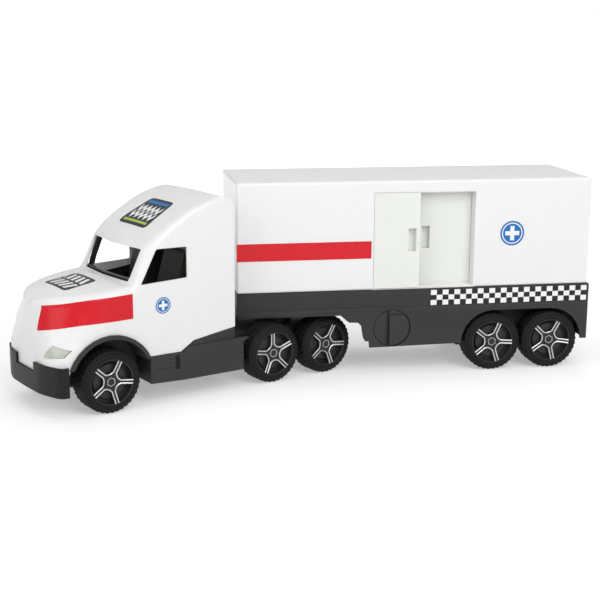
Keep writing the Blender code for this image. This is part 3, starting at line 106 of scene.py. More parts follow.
class Wire:  # one output of a node; an expression on values adds its Math nodes
    def __init__(self, finish, socket):
        self.finish = finish
        self.socket = socket

    def maths(self, operation, first, second):
        return self.finish.node("ShaderNodeMath", {"operation": operation}, {0: first, 1: second})

    __add__, __radd__ = operator("ADD"), operator("ADD", True)
    __sub__, __rsub__ = operator("SUBTRACT"), operator("SUBTRACT", True)
    __mul__, __rmul__ = operator("MULTIPLY"), operator("MULTIPLY", True)
    __gt__, __lt__ = operator("GREATER_THAN"), operator("LESS_THAN")
    __mod__, __abs__, floor = operator("FLOORED_MODULO"), operator("ABSOLUTE"), operator("FLOOR")

    def between(self, low, high):
        return (self > low) * (self < high)


class Finish:  # a material under construction
    def __init__(self, name, **constants):
        self.material = bpy.data.materials.new(name)
        self.material.use_nodes = True
        self.tree = self.material.node_tree
        self.shader = self.tree.nodes["Principled BSDF"]
        for socket, value in constants.items():
            self.shader.inputs[socket.replace("_", " ")].default_value = value

    def node(self, kind, settings=None, inputs=None, out=0):
        made = self.tree.nodes.new(kind)
        for name, value in (settings or {}).items():
            setattr(made, name, value)
        for key, value in (inputs or {}).items():
            self.feed(made.inputs[key], value)
        return Wire(self, made.outputs[out])

    def feed(self, socket, value):
        if isinstance(value, Wire):
            self.tree.links.new(value.socket, socket)
        else:
            socket.default_value = value

    def place(self):
        return self.node("ShaderNodeTexCoord", out="Object")

    def sheet(self):  # the two directions of a printed film, 0 to 1
        both = self.node("ShaderNodeTexCoord", out="UV")
        return [self.node("ShaderNodeSeparateXYZ", None, {0: both}, axis) for axis in ("X", "Y")]

    def noise(self, scale, detail=2.0, roughness=0.5):
        values = {"Vector": self.place(), "Scale": scale, "Detail": detail, "Roughness": roughness}
        return self.node("ShaderNodeTexNoise", None, values)

    def blend(self, factor, first, second):
        values = {0: factor, 6: first, 7: second}
        return self.node("ShaderNodeMix", {"data_type": "RGBA"}, values, 2)

    def bump(self, height, distance):
        values = {"Height": height, "Distance": distance, "Strength": 1.0}
        self.connect("Normal", self.node("ShaderNodeBump", None, values))

    def connect(self, socket, value):
        self.feed(self.shader.inputs[socket], value)


def shade(colour, factor):
    return (*[min(1.0, channel * factor) for channel in colour], 1.0)


# Moulded plastics

mouldings = {  # colour, roughness, share that the colour varies by, grain depth and scale, sheen
    "whiteShell": ((0.880, 0.885, 0.878), 0.30, 0.02, 0.000015, 900, 0.50),
    "doorWhite": ((0.830, 0.850, 0.805), 0.34, 0.02, 0.000015, 900, 0.50),
    "darkMoulding": ((0.036, 0.035, 0.034), 0.46, 0.16, 0.00004, 1400, 0.30),
    "darkPanel": ((0.036, 0.035, 0.034), 0.44, 0.14, 0.00003, 1400, 0.32),
    "bumperMoulding": ((0.012, 0.012, 0.012), 0.46, 0.16, 0.00003, 1400, 0.24),
    "darkTrim": ((0.022, 0.021, 0.020), 0.20, 0.12, 0.00001, 1100, 0.55),
    "seatMoulding": ((0.024, 0.022, 0.019), 0.50, 0.16, 0.00004, 1100, 0.30),
    "tyreMoulding": ((0.014, 0.014, 0.014), 0.60, 0.18, 0.00005, 1100, 0.14),
    "rimBack": ((0.030, 0.030, 0.030), 0.42, 0.16, 0.00003, 1200, 0.35),
    "rimBlack": ((0.009, 0.009, 0.009), 0.34, 0.15, 0.00002, 1200, 0.45),
}

pearly = {"whiteShell": 0.35, "doorWhite": 0.25}  # share of light that goes into the plastic
pearlyDepth = 0.004


def mouldedFinish(name):
    colour, rough, spread, grain, scale, sheen = mouldings[name]
    finish = Finish(name, IOR=1.46, Specular_IOR_Level=sheen)
    if name in pearly:  # thin white walls let a little light through
        finish.shader.inputs["Subsurface Weight"].default_value = pearly[name]
        finish.shader.inputs["Subsurface Radius"].default_value = (1.0, 1.0, 0.95)
        finish.shader.inputs["Subsurface Scale"].default_value = pearlyDepth
    cloud = finish.noise(22.0, 3.0)
    fine = finish.noise(scale, 2.0, 0.6)
    tone = cloud * 0.75 + fine * 0.25
    finish.connect("Base Color", finish.blend(tone, shade(colour, 1 - spread), shade(colour, 1 + spread)))
    finish.connect("Roughness", rough - 0.05 + 0.10 * cloud)
    finish.bump(fine, grain)
    return finish.material


def silverFinish():  # hot-stamped silver on the spokes, worn a little in spots
    finish = Finish("stampedSilver", Metallic=0.85)
    specks = finish.noise(700.0, 4.0, 0.7)
    cloud = finish.noise(90.0, 2.0)
    tone = specks * 0.6 + cloud * 0.4
    finish.connect("Base Color", finish.blend(tone, (0.42, 0.42, 0.42, 1.0), (0.86, 0.86, 0.85, 1.0)))
    finish.connect("Roughness", 0.22 + 0.20 * specks)
    finish.bump(specks, 0.00003)
    return finish.material


def steelFinish():  # drawn rod, lines along it
    finish = Finish("drawnSteel", Metallic=1.0)
    values = {0: finish.place(), 1: (30.0, 900.0, 900.0)}
    stretch = finish.node("ShaderNodeVectorMath", {"operation": "MULTIPLY"}, values)
    lines = finish.node("ShaderNodeTexNoise", None, {"Vector": stretch, "Scale": 1.0, "Detail": 2.0})
    finish.connect("Base Color", finish.blend(lines, (0.45, 0.45, 0.47, 1.0), (0.68, 0.68, 0.70, 1.0)))
    finish.connect("Roughness", 0.24 + 0.16 * lines)
    return finish.material


def lampFinish():  # grey-green panel with faint upright flutes
    finish = Finish("headlightPanel", Coat_Roughness=0.08)
    u, v = finish.sheet()
    flute = u.maths("SINE", u * 75.0, 0.0)
    cloud = finish.noise(60.0, 2.0)
    # the colour turns lighter towards the panel's top, and the coat grows heavier there
    tone = cloud * 0.7 + v * 0.3
    finish.connect("Base Color", finish.blend(tone, (0.42, 0.45, 0.39, 1.0), (0.62, 0.65, 0.58, 1.0)))
    finish.connect("Roughness", 0.16 + 0.10 * cloud)
    finish.connect("Coat Weight", 0.4 + 0.2 * v)
    finish.bump(flute, 0.00008)
    return finish.material


# Printed films

inks = {
    "red": (0.680, 0.004, 0.014),
    "blue": (0.006, 0.155, 0.480),
    "navy": (0.008, 0.012, 0.030),
    "black": (0.006, 0.006, 0.006),
    "white": (0.895, 0.900, 0.890),
    "lime": (0.400, 0.560, 0.060),
}


def filmFinish(name, colourOf):  # colourOf(finish, u, v) gives the print's colour
    finish = Finish(name, Specular_IOR_Level=0.30)
    u, v = finish.sheet()
    cloud = finish.noise(45.0, 2.0)
    fine = finish.noise(1500.0, 1.0)
    print2d = colourOf(finish, u, v)
    finish.connect("Base Color", finish.blend(fine * 0.012, print2d, (0.5, 0.5, 0.5, 1.0)))
    finish.connect("Roughness", 0.22 + 0.12 * cloud)
    finish.bump(cloud, 0.00004)
    return finish.material


def inkOf(name):
    return (*inks[name], 1.0)


def plainPrint(name):
    def colours(finish, u, v):
        return finish.blend(v * 0.12, inkOf(name), shade(inks[name], 0.8))
    return colours


def checkerPrint(columns, rows):
    def colours(finish, u, v):
        parity = ((u * columns).floor() + (v * rows).floor()) % 2.0
        return finish.blend(parity, inkOf("white"), inkOf("black"))
    return colours


def plusPrint(finish, u, v):  # white plus on a blue disc with a white ring
    x, y = u - 0.5, v - 0.5
    arm, reach = 0.085, 0.29
    upright = (abs(x) < arm) * (abs(y) < reach)
    level = (abs(y) < arm) * (abs(x) < reach)
    distance = u.maths("SQRT", x * x + y * y, 0.0)
    ring = distance.between(0.385, 0.425)
    mark = u.maths("MAXIMUM", upright, level)
    mark = u.maths("MAXIMUM", mark, ring)
    return finish.blend(mark, inkOf("blue"), inkOf("white"))


def hoodPrint(finish, u, v):  # white chevrons in a black panel
    inside = u.between(0.07, 0.93) * v.between(0.10, 0.90)
    lean = (u * 5.0 + abs(v - 0.5) * 1.6) % 1.0
    bars = lean.between(0.22, 0.78) * inside
    split = 1.0 - v.between(0.46, 0.54)
    return finish.blend(bars * split, inkOf("black"), inkOf("white"))


def roofPrint(finish, u, v):  # navy panel: blue strip, white zigzag band, lime strip
    zigzag = abs((u * 6.0) % 1.0 - 0.5) * 0.34
    band = (v + zigzag).between(0.36, 0.50) + (v + zigzag).between(0.60, 0.74)
    inner = u.between(0.08, 0.92)
    colour = finish.blend(band * inner, inkOf("navy"), inkOf("white"))
    colour = finish.blend(v.between(0.80, 0.90) * inner, colour, inkOf("blue"))
    return finish.blend(v.between(0.09, 0.16) * inner, colour, inkOf("lime"))


finishes = {name: mouldedFinish(name) for name in mouldings}
finishes["stampedSilver"] = silverFinish()
finishes["drawnSteel"] = steelFinish()
finishes["headlightPanel"] = lampFinish()
print("finishes ready:", len(finishes))


# Making meshes

def meshOf(shape, name):
    mesh = bpy.data.meshes.new(name)
    shape.to_mesh(mesh)
    shape.free()
    return mesh


def smoothed(mesh, degrees):
    mesh.shade_smooth()
    mesh.set_sharp_from_angle(angle=math.radians(degrees))
    return mesh


def applied(item, cutters=()):  # the mesh that an object's modifiers give; the objects are removed
    bpy.context.view_layer.update()
    graph = bpy.context.evaluated_depsgraph_get()
    mesh = bpy.data.meshes.new_from_object(item.evaluated_get(graph))
    for used in (item, *cutters):
        bpy.data.objects.remove(used, do_unlink=True)
    return mesh


def addPiece(name, mesh, finish, body, replaced=(), at=None):
    item = bpy.data.objects.new(name, mesh)
    mesh.materials.clear()
    mesh.materials.append(finish if isinstance(finish, bpy.types.Material) else finishes[finish])
    if at:
        item.matrix_world = at
    bpy.context.scene.collection.objects.link(item)
    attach(item, body)
    if replaced:
        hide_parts(*replaced)


def rawObject(mesh, name):
    item = bpy.data.objects.new(name, mesh)
    bpy.context.scene.collection.objects.link(item)
    return item


def box(low, high):
    shape = bmesh.new()
    size = [abs(b - a) for a, b in zip(low, high)]
    middle = (Vector(low) + Vector(high)) / 2
    bmesh.ops.create_cube(shape, size=1.0, matrix=Matrix.Translation(middle) @ Matrix.Diagonal((*size, 1.0)))
    return shape


def roundEdges(shape, width, limit):
    sharp = [edge for edge in shape.edges if edge.calc_face_angle(0.0) > math.radians(limit)]
    bmesh.ops.bevel(shape, geom=sharp, offset=width, segments=2, profile=0.5, affect="EDGES")
    return shape


def bridge(shape, rows, closed=False):  # faces between rings of corners that follow each other
    for first, second in zip(rows, rows[1:] + (rows[:1] if closed else [])):
        for k in range(len(first)):
            ahead = (k + 1) % len(first)
            corners = list(dict.fromkeys([first[k], first[ahead], second[ahead], second[k]]))
            if len(corners) > 2:
                shape.faces.new(corners)


def prism(outline, axis, start, end):  # a closed outline drawn thick along an axis
    shape = bmesh.new()
    slot = "xyz".index(axis)
    layers = []
    for depth in (start, end):
        layers.append([shape.verts.new((*place[:slot], depth, *place[slot:])) for place in outline])
    shape.faces.new(layers[0])
    shape.faces.new(layers[1][::-1])
    bridge(shape, layers)
    bmesh.ops.recalc_face_normals(shape, faces=shape.faces)
    return shape


def leftOf(along):
    return Vector((-along.y, along.x))


def arc(centre, radius, start, end, steps):
    angles = np.radians(np.linspace(start, end, steps + 1))
    return [(centre[0] + radius * math.cos(a), centre[1] + radius * math.sin(a)) for a in angles]


def lathe(profile, steps, closed=False, lift=None):
    # (radius, z) turned about Z; lift(turn, index) pushes a point out along its radius
    shape = bmesh.new()
    rings = []
    for index, (radius, height) in enumerate(profile):
        if radius < 1e-7:
            rings.append([shape.verts.new((0.0, 0.0, height))] * steps)
            continue
        ring = []
        for step in range(steps):
            turn = 2 * math.pi * step / steps
            reach = radius + (lift(step, index) if lift else 0.0)
            ring.append(shape.verts.new((reach * math.cos(turn), reach * math.sin(turn), height)))
        rings.append(ring)
    bridge(shape, rings, closed)
    bmesh.ops.recalc_face_normals(shape, faces=shape.faces)
    return shape


def closedSheet(grid, crossed=True):
    # a thin solid between two skins; each entry is (low, high, (u, v)), and crossed skins split
    # their quads along opposite diagonals
    shape = bmesh.new()
    uvLayer = shape.loops.layers.uv.new("print")
    marks, net = {}, []
    for line in grid:
        net.append([])
        for low, high, uv in line:
            pair = (shape.verts.new(low), shape.verts.new(high))
            marks.update(dict.fromkeys(pair, uv))
            net[-1].append(pair)
    for line, ahead in zip(net, net[1:]):
        for k in range(len(line) - 1):
            ring = [line[k], line[k + 1], ahead[k + 1], ahead[k]]
            shape.faces.new([pair[1] for pair in ring])
            under = ring[::-1] if crossed else [ring[0], *ring[:0:-1]]
            shape.faces.new([pair[0] for pair in under])
    border = net[0][:-1] + [line[-1] for line in net[:-1]]
    border += net[-1][:0:-1] + [line[0] for line in net[:0:-1]]
    for first, second in zip(border, border[1:] + border[:1]):
        shape.faces.new([first[1], first[0], second[0], second[1]])
    bmesh.ops.recalc_face_normals(shape, faces=shape.faces)
    for face in shape.faces:
        for loop in face.loops:
            loop[uvLayer].uv = marks[loop.vert]
    return shape


def softEdge(item, width):  # a small round on every sharp edge, with the flats kept flat
    change = item.modifiers.new("softEdge", "BEVEL")
    change.width = width
    change.segments = 2
    change.limit_method = "ANGLE"
    change.angle_limit = math.radians(35)
    change.harden_normals = True


def cutBy(item, shape):
    cutter = rawObject(meshOf(shape, "cutter"), "cutter")
    change = item.modifiers.new("cut", "BOOLEAN")
    change.operation = "DIFFERENCE"
    change.object = cutter
    change.solver = "EXACT"
    return cutter


# Wheels

wheel = {
    "radius": 0.0400,
    "face": 0.0816,
    "width": 0.0340,
    "lugs": 36,
    "tread": 0.0391,  # radius between the lugs
    "rimRadius": 0.0292,
    "barrelRadius": 0.0278,
    "barrelDepth": 0.0125,
    "discRadius": 0.0225,
    "discDepth": 0.0088,
    "spokes": 5,
    "spokeHalf": 0.0029,
    "spokeTip": 0.0280,
    "spokeRound": 0.0003,
    "webReach": 1.55,  # of the web's radius, where the round between two spokes starts
    "webRadius": 0.0092,
    "hubDepth": 0.0058,
    "tipDepth": 0.0008,
    "plateThickness": 0.0026,
    "ridgeHalf": 0.00084,
    "ridgeHeight": 0.0008,
    "hubRadius": 0.0060,
    "hubRidge": (0.0006, 0.0012),  # half width and height of the hexagon
    "turns": {
        "tractor_front": -59.9,
        "tractor_drive": -29.2,
        "tractor_tag": -57.9,
        "trailer_front": -56.0,
        "trailer_rear": -61.2,
    },
}


def tyreMesh():
    width, radius, tread = wheel["width"], wheel["radius"], wheel["tread"]
    half = [  # (radius, depth, share of the lug) from the bead to the middle of the tread
        (0.0293, -0.0060, 0.0), (0.0293, -0.0016, 0.0), (0.0297, -0.0007, 0.0), (0.0306, -0.0002, 0.0),
        (0.0320, 0.0000, 0.0), (0.0336, -0.0003, 0.0), (0.0350, -0.0009, 0.0), (0.0360, -0.0018, 0.0),
        (0.0364, -0.0026, 0.0), (0.0372, -0.0028, 0.5), (0.0381, -0.0034, 1.0), (0.0389, -0.0046, 1.0),
        (tread, -0.0062, 1.0), (tread, -0.0105, 1.0), (tread, -0.0110, 0.0), (tread, -0.0122, 0.0),
        (tread, -0.0127, -1.0), (tread, -0.0166, -1.0),
    ]
    profile = half + [(r, -width - z, share) for r, z, share in reversed(half)]
    perLug = 4

    def lift(step, index):
        share = profile[index][2]
        if share < 0:  # middle blocks stand between the shoulder blocks
            return (radius - tread) * (((step + 2) % perLug) < 2)
        return share * ((step % perLug) < 2) * (radius - tread)

    steps = wheel["lugs"] * perLug
    shape = lathe([(r, z) for r, z, _ in profile], steps, True, lift)
    return smoothed(meshOf(shape, "tyre"), 38)


def coneDepth(reach):  # depth of the spoke plate's face at a distance from the hub
    share = min(1.0, reach / wheel["spokeTip"])
    return -(wheel["hubDepth"] + (wheel["tipDepth"] - wheel["hubDepth"]) * share)


def starOutline(half, web, tip):  # outline of the five spokes with rounded webs between them
    points = []
    for spoke in range(wheel["spokes"]):
        turn = 2 * math.pi * spoke / wheel["spokes"]
        gap, nextTurn = turn + math.pi / wheel["spokes"], turn + 2 * math.pi / wheel["spokes"]
        along, nextAlong = [Vector((math.cos(a), math.sin(a))) for a in (turn, nextTurn)]
        across = leftOf(along)
        points.append(along * tip - across * half)
        points.append(along * tip + across * half)
        corner = Vector((math.cos(gap), math.sin(gap))) * web
        start = along * (web * wheel["webReach"]) + across * half
        end = nextAlong * (web * wheel["webReach"]) - leftOf(nextAlong) * half
        for share in (0.0, 0.25, 0.5, 0.75, 1.0):
            first = start.lerp(corner, share)
            second = corner.lerp(end, share)
            points.append(first.lerp(second, share))
    return points


def spokePlate():
    outline = [tuple(p) for p in starOutline(wheel["spokeHalf"], wheel["webRadius"], wheel["spokeTip"])]
    shape = prism(outline, "z", -wheel["plateThickness"], 0.0)
    bmesh.ops.triangulate(shape, faces=[face for face in shape.faces if len(face.verts) > 4])
    for point in shape.verts:
        point.co.z += coneDepth(math.hypot(point.co.x, point.co.y))
    return shape


def ridge(shape, path, half, height, closed=False):  # a raised line along a path on the plate
    count = len(path)
    rows = []
    for k in range(count):
        before = path[k - 1] if k or closed else path[k]
        after = path[(k + 1) % count] if k < count - 1 or closed else path[k]
        along = (after - before).normalized()
        across = leftOf(along)
        turn = 1.0
        if 0 < k < count - 1 or closed:
            first, second = (path[k] - before).normalized(), (after - path[k]).normalized()
            turn = 1.0 / max(0.6, math.sqrt((1 + first.dot(second)) / 2))
        row = []
        for side, rise in ((-1.0, -0.4), (-1.0, 0.55), (-0.45, 1.0), (0.45, 1.0), (1.0, 0.55), (1.0, -0.4)):
            place = path[k] + across * side * half * turn
            level = coneDepth(place.length) + rise * height
            row.append(shape.verts.new((place.x, place.y, level)))
        rows.append(row)
    bridge(shape, rows, closed)
    if not closed:
        shape.faces.new(rows[0])
        shape.faces.new(rows[-1][::-1])


def silverMesh():
    shape = bmesh.new()
    inset = wheel["spokeHalf"] - wheel["ridgeHalf"]
    outline = starOutline(inset, wheel["webRadius"] - wheel["ridgeHalf"] * 1.3, wheel["spokeTip"] - 0.0002)
    per = len(outline) // wheel["spokes"]
    for spoke in range(wheel["spokes"]):
        path = outline[spoke * per + 1:(spoke + 1) * per] + [outline[((spoke + 1) * per) % len(outline)]]
        ridge(shape, path, wheel["ridgeHalf"], wheel["ridgeHeight"])
    half, height = wheel["hubRidge"]
    ring = [Vector(p) for p in arc((0, 0), wheel["hubRadius"] - half, 0, 300, 5)]
    ridge(shape, ring, half, height, True)
    bmesh.ops.recalc_face_normals(shape, faces=shape.faces)
    return smoothed(meshOf(shape, "spokeSilver"), 40)


def rimMesh():
    face, floor = -wheel["tipDepth"], -wheel["barrelDepth"]
    disc, back = -wheel["discDepth"], -wheel["width"] + 0.002
    bore = 0.0023
    profile = [
        (0.0, coneDepth(0.0) - 0.0012), (0.0016, coneDepth(0.0) - 0.0012), (0.0019, coneDepth(0.0) + 0.0002),
        (0.0030, coneDepth(0.0) + 0.0005), (0.0050, coneDepth(0.0) + 0.0003), (0.0062, disc + 0.0004),
        (0.0066, disc), (wheel["discRadius"] - 0.0008, disc), (wheel["discRadius"], disc - 0.0008),
        (wheel["discRadius"] + 0.0006, floor), (wheel["barrelRadius"] - 0.0010, floor),
        (wheel["barrelRadius"], floor + 0.0010), (wheel["barrelRadius"], face - 0.0004),
        (wheel["barrelRadius"] + 0.0003, face), (wheel["rimRadius"], face), (wheel["rimRadius"], back),
        (wheel["barrelRadius"], back), (wheel["barrelRadius"], floor - 0.002), (0.0066, floor - 0.002),
        (0.0062, back - 0.002), (bore, back - 0.002), (bore, floor - 0.0015), (0.0, floor - 0.0015),
    ]
    return smoothed(meshOf(lathe(profile, 72), "rim"), 30)


def dress(node, finish):  # a material on a solid that keeps its own mesh
    mesh = frame["nodes"][node].data
    mesh.materials.clear()
    mesh.materials.append(finishes[finish])


def addWheels():
    tyre, rim, silver = tyreMesh(), rimMesh(), silverMesh()
    plate = smoothed(meshOf(roundEdges(spokePlate(), wheel["spokeRound"], 50), "spokePlate"), 30)
    for axle, turn in wheel["turns"].items():
        base = jointFrame(f"{axle}_roll") @ Matrix.Translation((0.0, 0.0, wheel["radius"]))
        body, spun = f"{axle}_wheels", Matrix.Rotation(math.radians(turn), 4, "Z")
        dress(f"{axle}_axle", "drawnSteel")
        for side, sign in sides:
            outward = Matrix.Rotation(sign * math.pi / 2, 4, "Y") @ spun
            at = base @ Matrix.Translation((sign * wheel["face"], 0.0, 0.0)) @ outward
            for part, mesh, finish, slot, replaced in (
                ("tyreTread", tyre, "tyreMoulding", "tyre_grey", [f"{axle}_tyre_{side}"]),
                ("rimDish", rim, "rimBack", "rim_black", [f"{axle}_rim_{side}"]),
                ("spokes", plate, "rimBlack", "rim_black", ()),
                ("spokeEdges", silver, "stampedSilver", "rim_black", ()),
            ):
                addPiece(f"{axle}_{side}_{part}", mesh, finish, body, replaced, at)


addWheels()
print("wheels ready")


# Carried-over solids

carried = {
    "fifth_wheel": "darkPanel",
    "cab_insert": "seatMoulding",
    "kingpin": "drawnSteel",
}
for node, finish in carried.items():
    dress(node, finish)
print("carried solids dressed:", len(carried))


# Fine copies of some solids, with their edges rounded and their grooves cut

fine = {  # finish, body, slot, edge radius
    "trailer_chassis": ("darkMoulding", "root", "dark_moulding", 0.0005),
    "tractor_chassis": ("darkMoulding", "tractor", "dark_moulding", 0.0004),
    "trailer_box": ("whiteShell", "root", "white_shell", 0.0005),
    "side_door_front": ("doorWhite", "door_front", "door_white", 0.0003),
    "side_door_rear": ("doorWhite", "door_rear", "door_white", 0.0003),
    "support_leg_left": ("darkPanel", "leg_left", "dark_moulding", 0.0004),
    "support_leg_right": ("darkPanel", "leg_right", "dark_moulding", 0.0004),
}
grooves = {
    "depth": 0.0006,
    "half": 0.00045,
    "reach": 0.0100,
    "fascia": (-0.0100, 0.5000, 0.0943),  # from the trailer's front: start, end, height
    "step": (0.0640, 0.0885, 0.0455),  # from the front axle: start, end, height
    "stepX": 0.0795,
}


def grooveShapes(node):
    size = grooves
    shapes = []
    for _, sign in sides:
        if node == "trailer_chassis":
            start, end, height = size["fascia"]
            face, base = films["trailerSide"], trailerFrame
        elif node == "tractor_chassis":
            start, end, height = size["step"]
            face, base = size["stepX"], cabFrame
        else:
            break
        low = (sign * (face - size["depth"]), start, height - size["half"])
        high = (sign * (face + size["reach"]), end, height + size["half"])
        shape = box(low, high)
        bmesh.ops.transform(shape, matrix=base, verts=shape.verts)
        shapes.append(shape)
    return shapes


def addFineCopies():
    for node, (finish, body, slot, edge) in fine.items():
        solid = frame["nodes"][node]
        item = rawObject(smoothed(solid.data.copy(), 30), node)
        item.matrix_world = solid.matrix_world
        cutters = [cutBy(item, shape) for shape in grooveShapes(node)]
        softEdge(item, edge)
        at = solid.matrix_world.copy()
        addPiece(f"{node}_fine", applied(item, cutters), finish, body, [node], at)


# Printed films on flat sides

def filmSheet(name, placeOf, columns, rows, print2d, body, slot, corner=0.0, size=(1.0, 1.0)):
    # placeOf(u, v) gives a point on the surface and its outward direction
    lift, thickness = films["lift"], films["thickness"]
    grid = []
    levels = [k / rows for k in range(rows + 1)]
    if corner:
        share = corner / size[1]
        ends = [share * (1 - math.cos(math.pi / 2 * k / 5)) for k in range(5)]
        inner = [share + (1 - 2 * share) * k / rows for k in range(rows + 1)]
        levels = ends + inner + [1 - end for end in reversed(ends)]
    for v in levels:
        near = min(v, 1 - v) * size[1]
        inset = corner - math.sqrt(max(0.0, corner**2 - (corner - near) ** 2)) if near < corner else 0.0
        line = []
        for k in range(columns + 1):
            u = inset / size[0] + (1 - 2 * inset / size[0]) * k / columns
            place, out = placeOf(u, v)
            line.append((place + out * lift, place + out * (lift + thickness), (u, v)))
        grid.append(line)
    mesh = smoothed(meshOf(closedSheet(grid), name), 40)
    addPiece(name, mesh, filmFinish(f"{name}Film", print2d), body)


def sidePlace(x, front, rear, low, high, base):
    out = (base.to_3x3() @ Vector((math.copysign(1.0, x), 0.0, 0.0))).normalized()

    def place(u, v):
        return base @ Vector((x, front + (rear - front) * u, low + (high - low) * v)), out
    return place


films = {
    "lift": 0.00006,
    "thickness": 0.00008,
    "trailerSide": 0.0796,
    "band": (0.0003, 0.1809, 0.1618, 0.1853),
    "checker": (0.2646, 0.4872, 0.0952, 0.1160),
    "checkerCount": (27, 3),
    "badge": (0.3762, 0.1913),
    "badgeRadius": 0.0170,
    "cabBadge": (0.0736, 0.1266),
    "cabBadgeRadius": 0.0105,
    "cabSide": 0.0780,
}


def addBadge(name, place, radius, base, body):
    x, y, z = place
    square = sidePlace(x, y - radius, y + radius, z - radius, z + radius, base)
    filmSheet(name, square, 12, 12, plusPrint, body, "white_shell", radius * 0.999, (2 * radius, 2 * radius))


def addTrailerFilms():
    count = films["checkerCount"]
    for side, sign in sides:
        x = sign * films["trailerSide"]
        band = sidePlace(x, *films["band"], trailerFrame)
        filmSheet(f"{side}_redBand", band, 8, 2, plainPrint("red"), "root", "white_shell")
        stripe = sidePlace(x, *films["checker"], trailerFrame)
        filmSheet(f"{side}_checker", stripe, *count, checkerPrint(*count), "root", "dark_moulding")
        addBadge(f"{side}_badge", (x, *films["badge"]), films["badgeRadius"], trailerFrame, "root")


addTrailerFilms()
addFineCopies()
print("trailer films and fine copies ready")


# Cab shell, from the front axle; heights are over the floor

hood = {
    "rear": 0.0328,
    "length": 0.1040,
    "inset": 0.0126,
    "height": 0.1564,
    "power": 1.85,
    "slope": 0.12,
    "crown": 0.0040,
    "roundStart": -0.0452,
    "roundDrop": 0.0100,
}
nose = {
    "pivot": 0.0098,
    "low": 0.0535,
    "heights": (0.0535, 0.0760, 0.0790, 0.0830, 0.0910, 0.1070, 0.1220, 0.1370),
    "depths": (0.0850, 0.0847, 0.0847, 0.0849, 0.0852, 0.0848, 0.0822, 0.0780),
    "powers": (5.5, 5.2, 5.0, 4.5, 3.6, 2.80, 2.35, 2.0),
    "fanSteps": 36,
}
cab = {
    "halfWidth": 0.0780,
    "wall": 0.0024,
    "low": 0.0640,
    "shoulderDrop": 0.0125,
    "cornerDrop": 0.0006,
    "sideReference": 0.1400,
    "perStation": 5,
    "crownPoints": 8,
    "cornerPoints": 7,
    "windowRound": 0.0022,
    "sideWindow": ((0.0658, 0.1980), (0.1086, 0.1972), (0.1086, 0.1578), (0.0434, 0.1556)),
    "windscreen": ((-0.0635, 0.1970), (0.0635, 0.1970), (0.0605, 0.1576), (-0.0605, 0.1576)),
    "windscreenSpan": (0.0262, 0.0648),
    "archRadius": 0.0557,
    "archFoot": 0.0300,  # height down to which the wheel arch is cut
    "reach": 0.0100,
}
cabStations = (  # middle y z, edge inset y z, top of the side y z, bottom of the side y z, rear wall forwards
    (0.1783, 0.2412, 0.0050, 0.1783, 0.2405, 0.1783, 0.2350, 0.1783, 0.0852),
    (0.1753, 0.2508, 0.0050, 0.1753, 0.2500, 0.1753, 0.2445, 0.1753, 0.0848),
    (0.1683, 0.2547, 0.0052, 0.1683, 0.2537, 0.1683, 0.2480, 0.1683, 0.0838),
    (0.1563, 0.2548, 0.0055, 0.1563, 0.2537, 0.1563, 0.2477, 0.1563, 0.0820),
    (0.1412, 0.2517, 0.0060, 0.1412, 0.2505, 0.1412, 0.2440, 0.1412, 0.0798),
    (0.1208, 0.2449, 0.0070, 0.1208, 0.2437, 0.1208, 0.2362, 0.1163, 0.0758),
    (0.0985, 0.2333, 0.0085, 0.0985, 0.2320, 0.0985, 0.2228, 0.0978, 0.0638),
    (0.0782, 0.2216, 0.0105, 0.0782, 0.2202, 0.0800, 0.2098, 0.0782, 0.0640),
    (0.0613, 0.2098, 0.0130, 0.0648, 0.2100, 0.0698, 0.1990, 0.0658, 0.0640),
    (0.0458, 0.1975, 0.0150, 0.0530, 0.1980, 0.0638, 0.1870, 0.0538, 0.0640),
    (0.0383, 0.1780, 0.0142, 0.0440, 0.1780, 0.0520, 0.1680, 0.0443, 0.0640),
    (0.0298, 0.1590, 0.0126, 0.0328, 0.1564, 0.0318, 0.1440, 0.0328, 0.0640),
)


def hoodEdge(y):  # half width and height of the hood's long edge
    share = min(1.0, max(0.0, (hood["rear"] - y) / hood["length"]))
    widest = cab["halfWidth"] - hood["inset"]
    halfWidth = widest * (1.0 - share ** hood["power"]) ** (1 / hood["power"])
    height = hood["height"] - hood["slope"] * (hood["rear"] - y)
    tip = hood["rear"] - hood["length"]
    if y < hood["roundStart"]:
        reach = min(1.0, (hood["roundStart"] - y) / (hood["roundStart"] - tip))
        height -= hood["roundDrop"] * (1.0 - math.sqrt(1.0 - reach**2))
    return halfWidth, height


def hoodMiddle(y):
    tip = hood["rear"] - hood["length"]
    share = min(1.0, max(0.0, (nose["pivot"] - y) / (nose["pivot"] - tip)))
    return hoodEdge(y)[1] + hood["crown"] * (1.0 - share**2)


def eased(value, places, amounts):  # a soft curve through amounts, in place of straight runs
    slopes = np.gradient(amounts, places)
    k = int(np.clip(np.searchsorted(places, value) - 1, 0, len(places) - 2))
    width = places[k + 1] - places[k]
    t = min(1.0, max(0.0, (value - places[k]) / width))
    first = amounts[k] * (2 * t**3 - 3 * t**2 + 1) + slopes[k] * width * (t**3 - 2 * t**2 + t)
    return first + amounts[k + 1] * (3 * t**2 - 2 * t**3) + slopes[k + 1] * width * (t**3 - t**2)


def noseShape(height):  # depth and squareness of the nose at a height
    return [eased(height, nose["heights"], nose[name]) for name in ("depths", "powers")]


def noseReach(angle, height):
    depth, power = noseShape(height)
    across = abs(math.cos(angle)) / cab["halfWidth"]
    along = abs(math.sin(angle)) / depth
    return (across**power + along**power) ** (-1.0 / power)


def hoodReach(angle):
    near, far = 0.0, hood["length"]
    for _ in range(40):
        middle = (near + far) / 2
        x, y = middle * math.cos(angle), nose["pivot"] - middle * math.sin(angle)
        inside = y > hood["rear"] - hood["length"] and x < hoodEdge(y)[0]
        near, far = (middle, far) if inside else (near, middle)
    return near


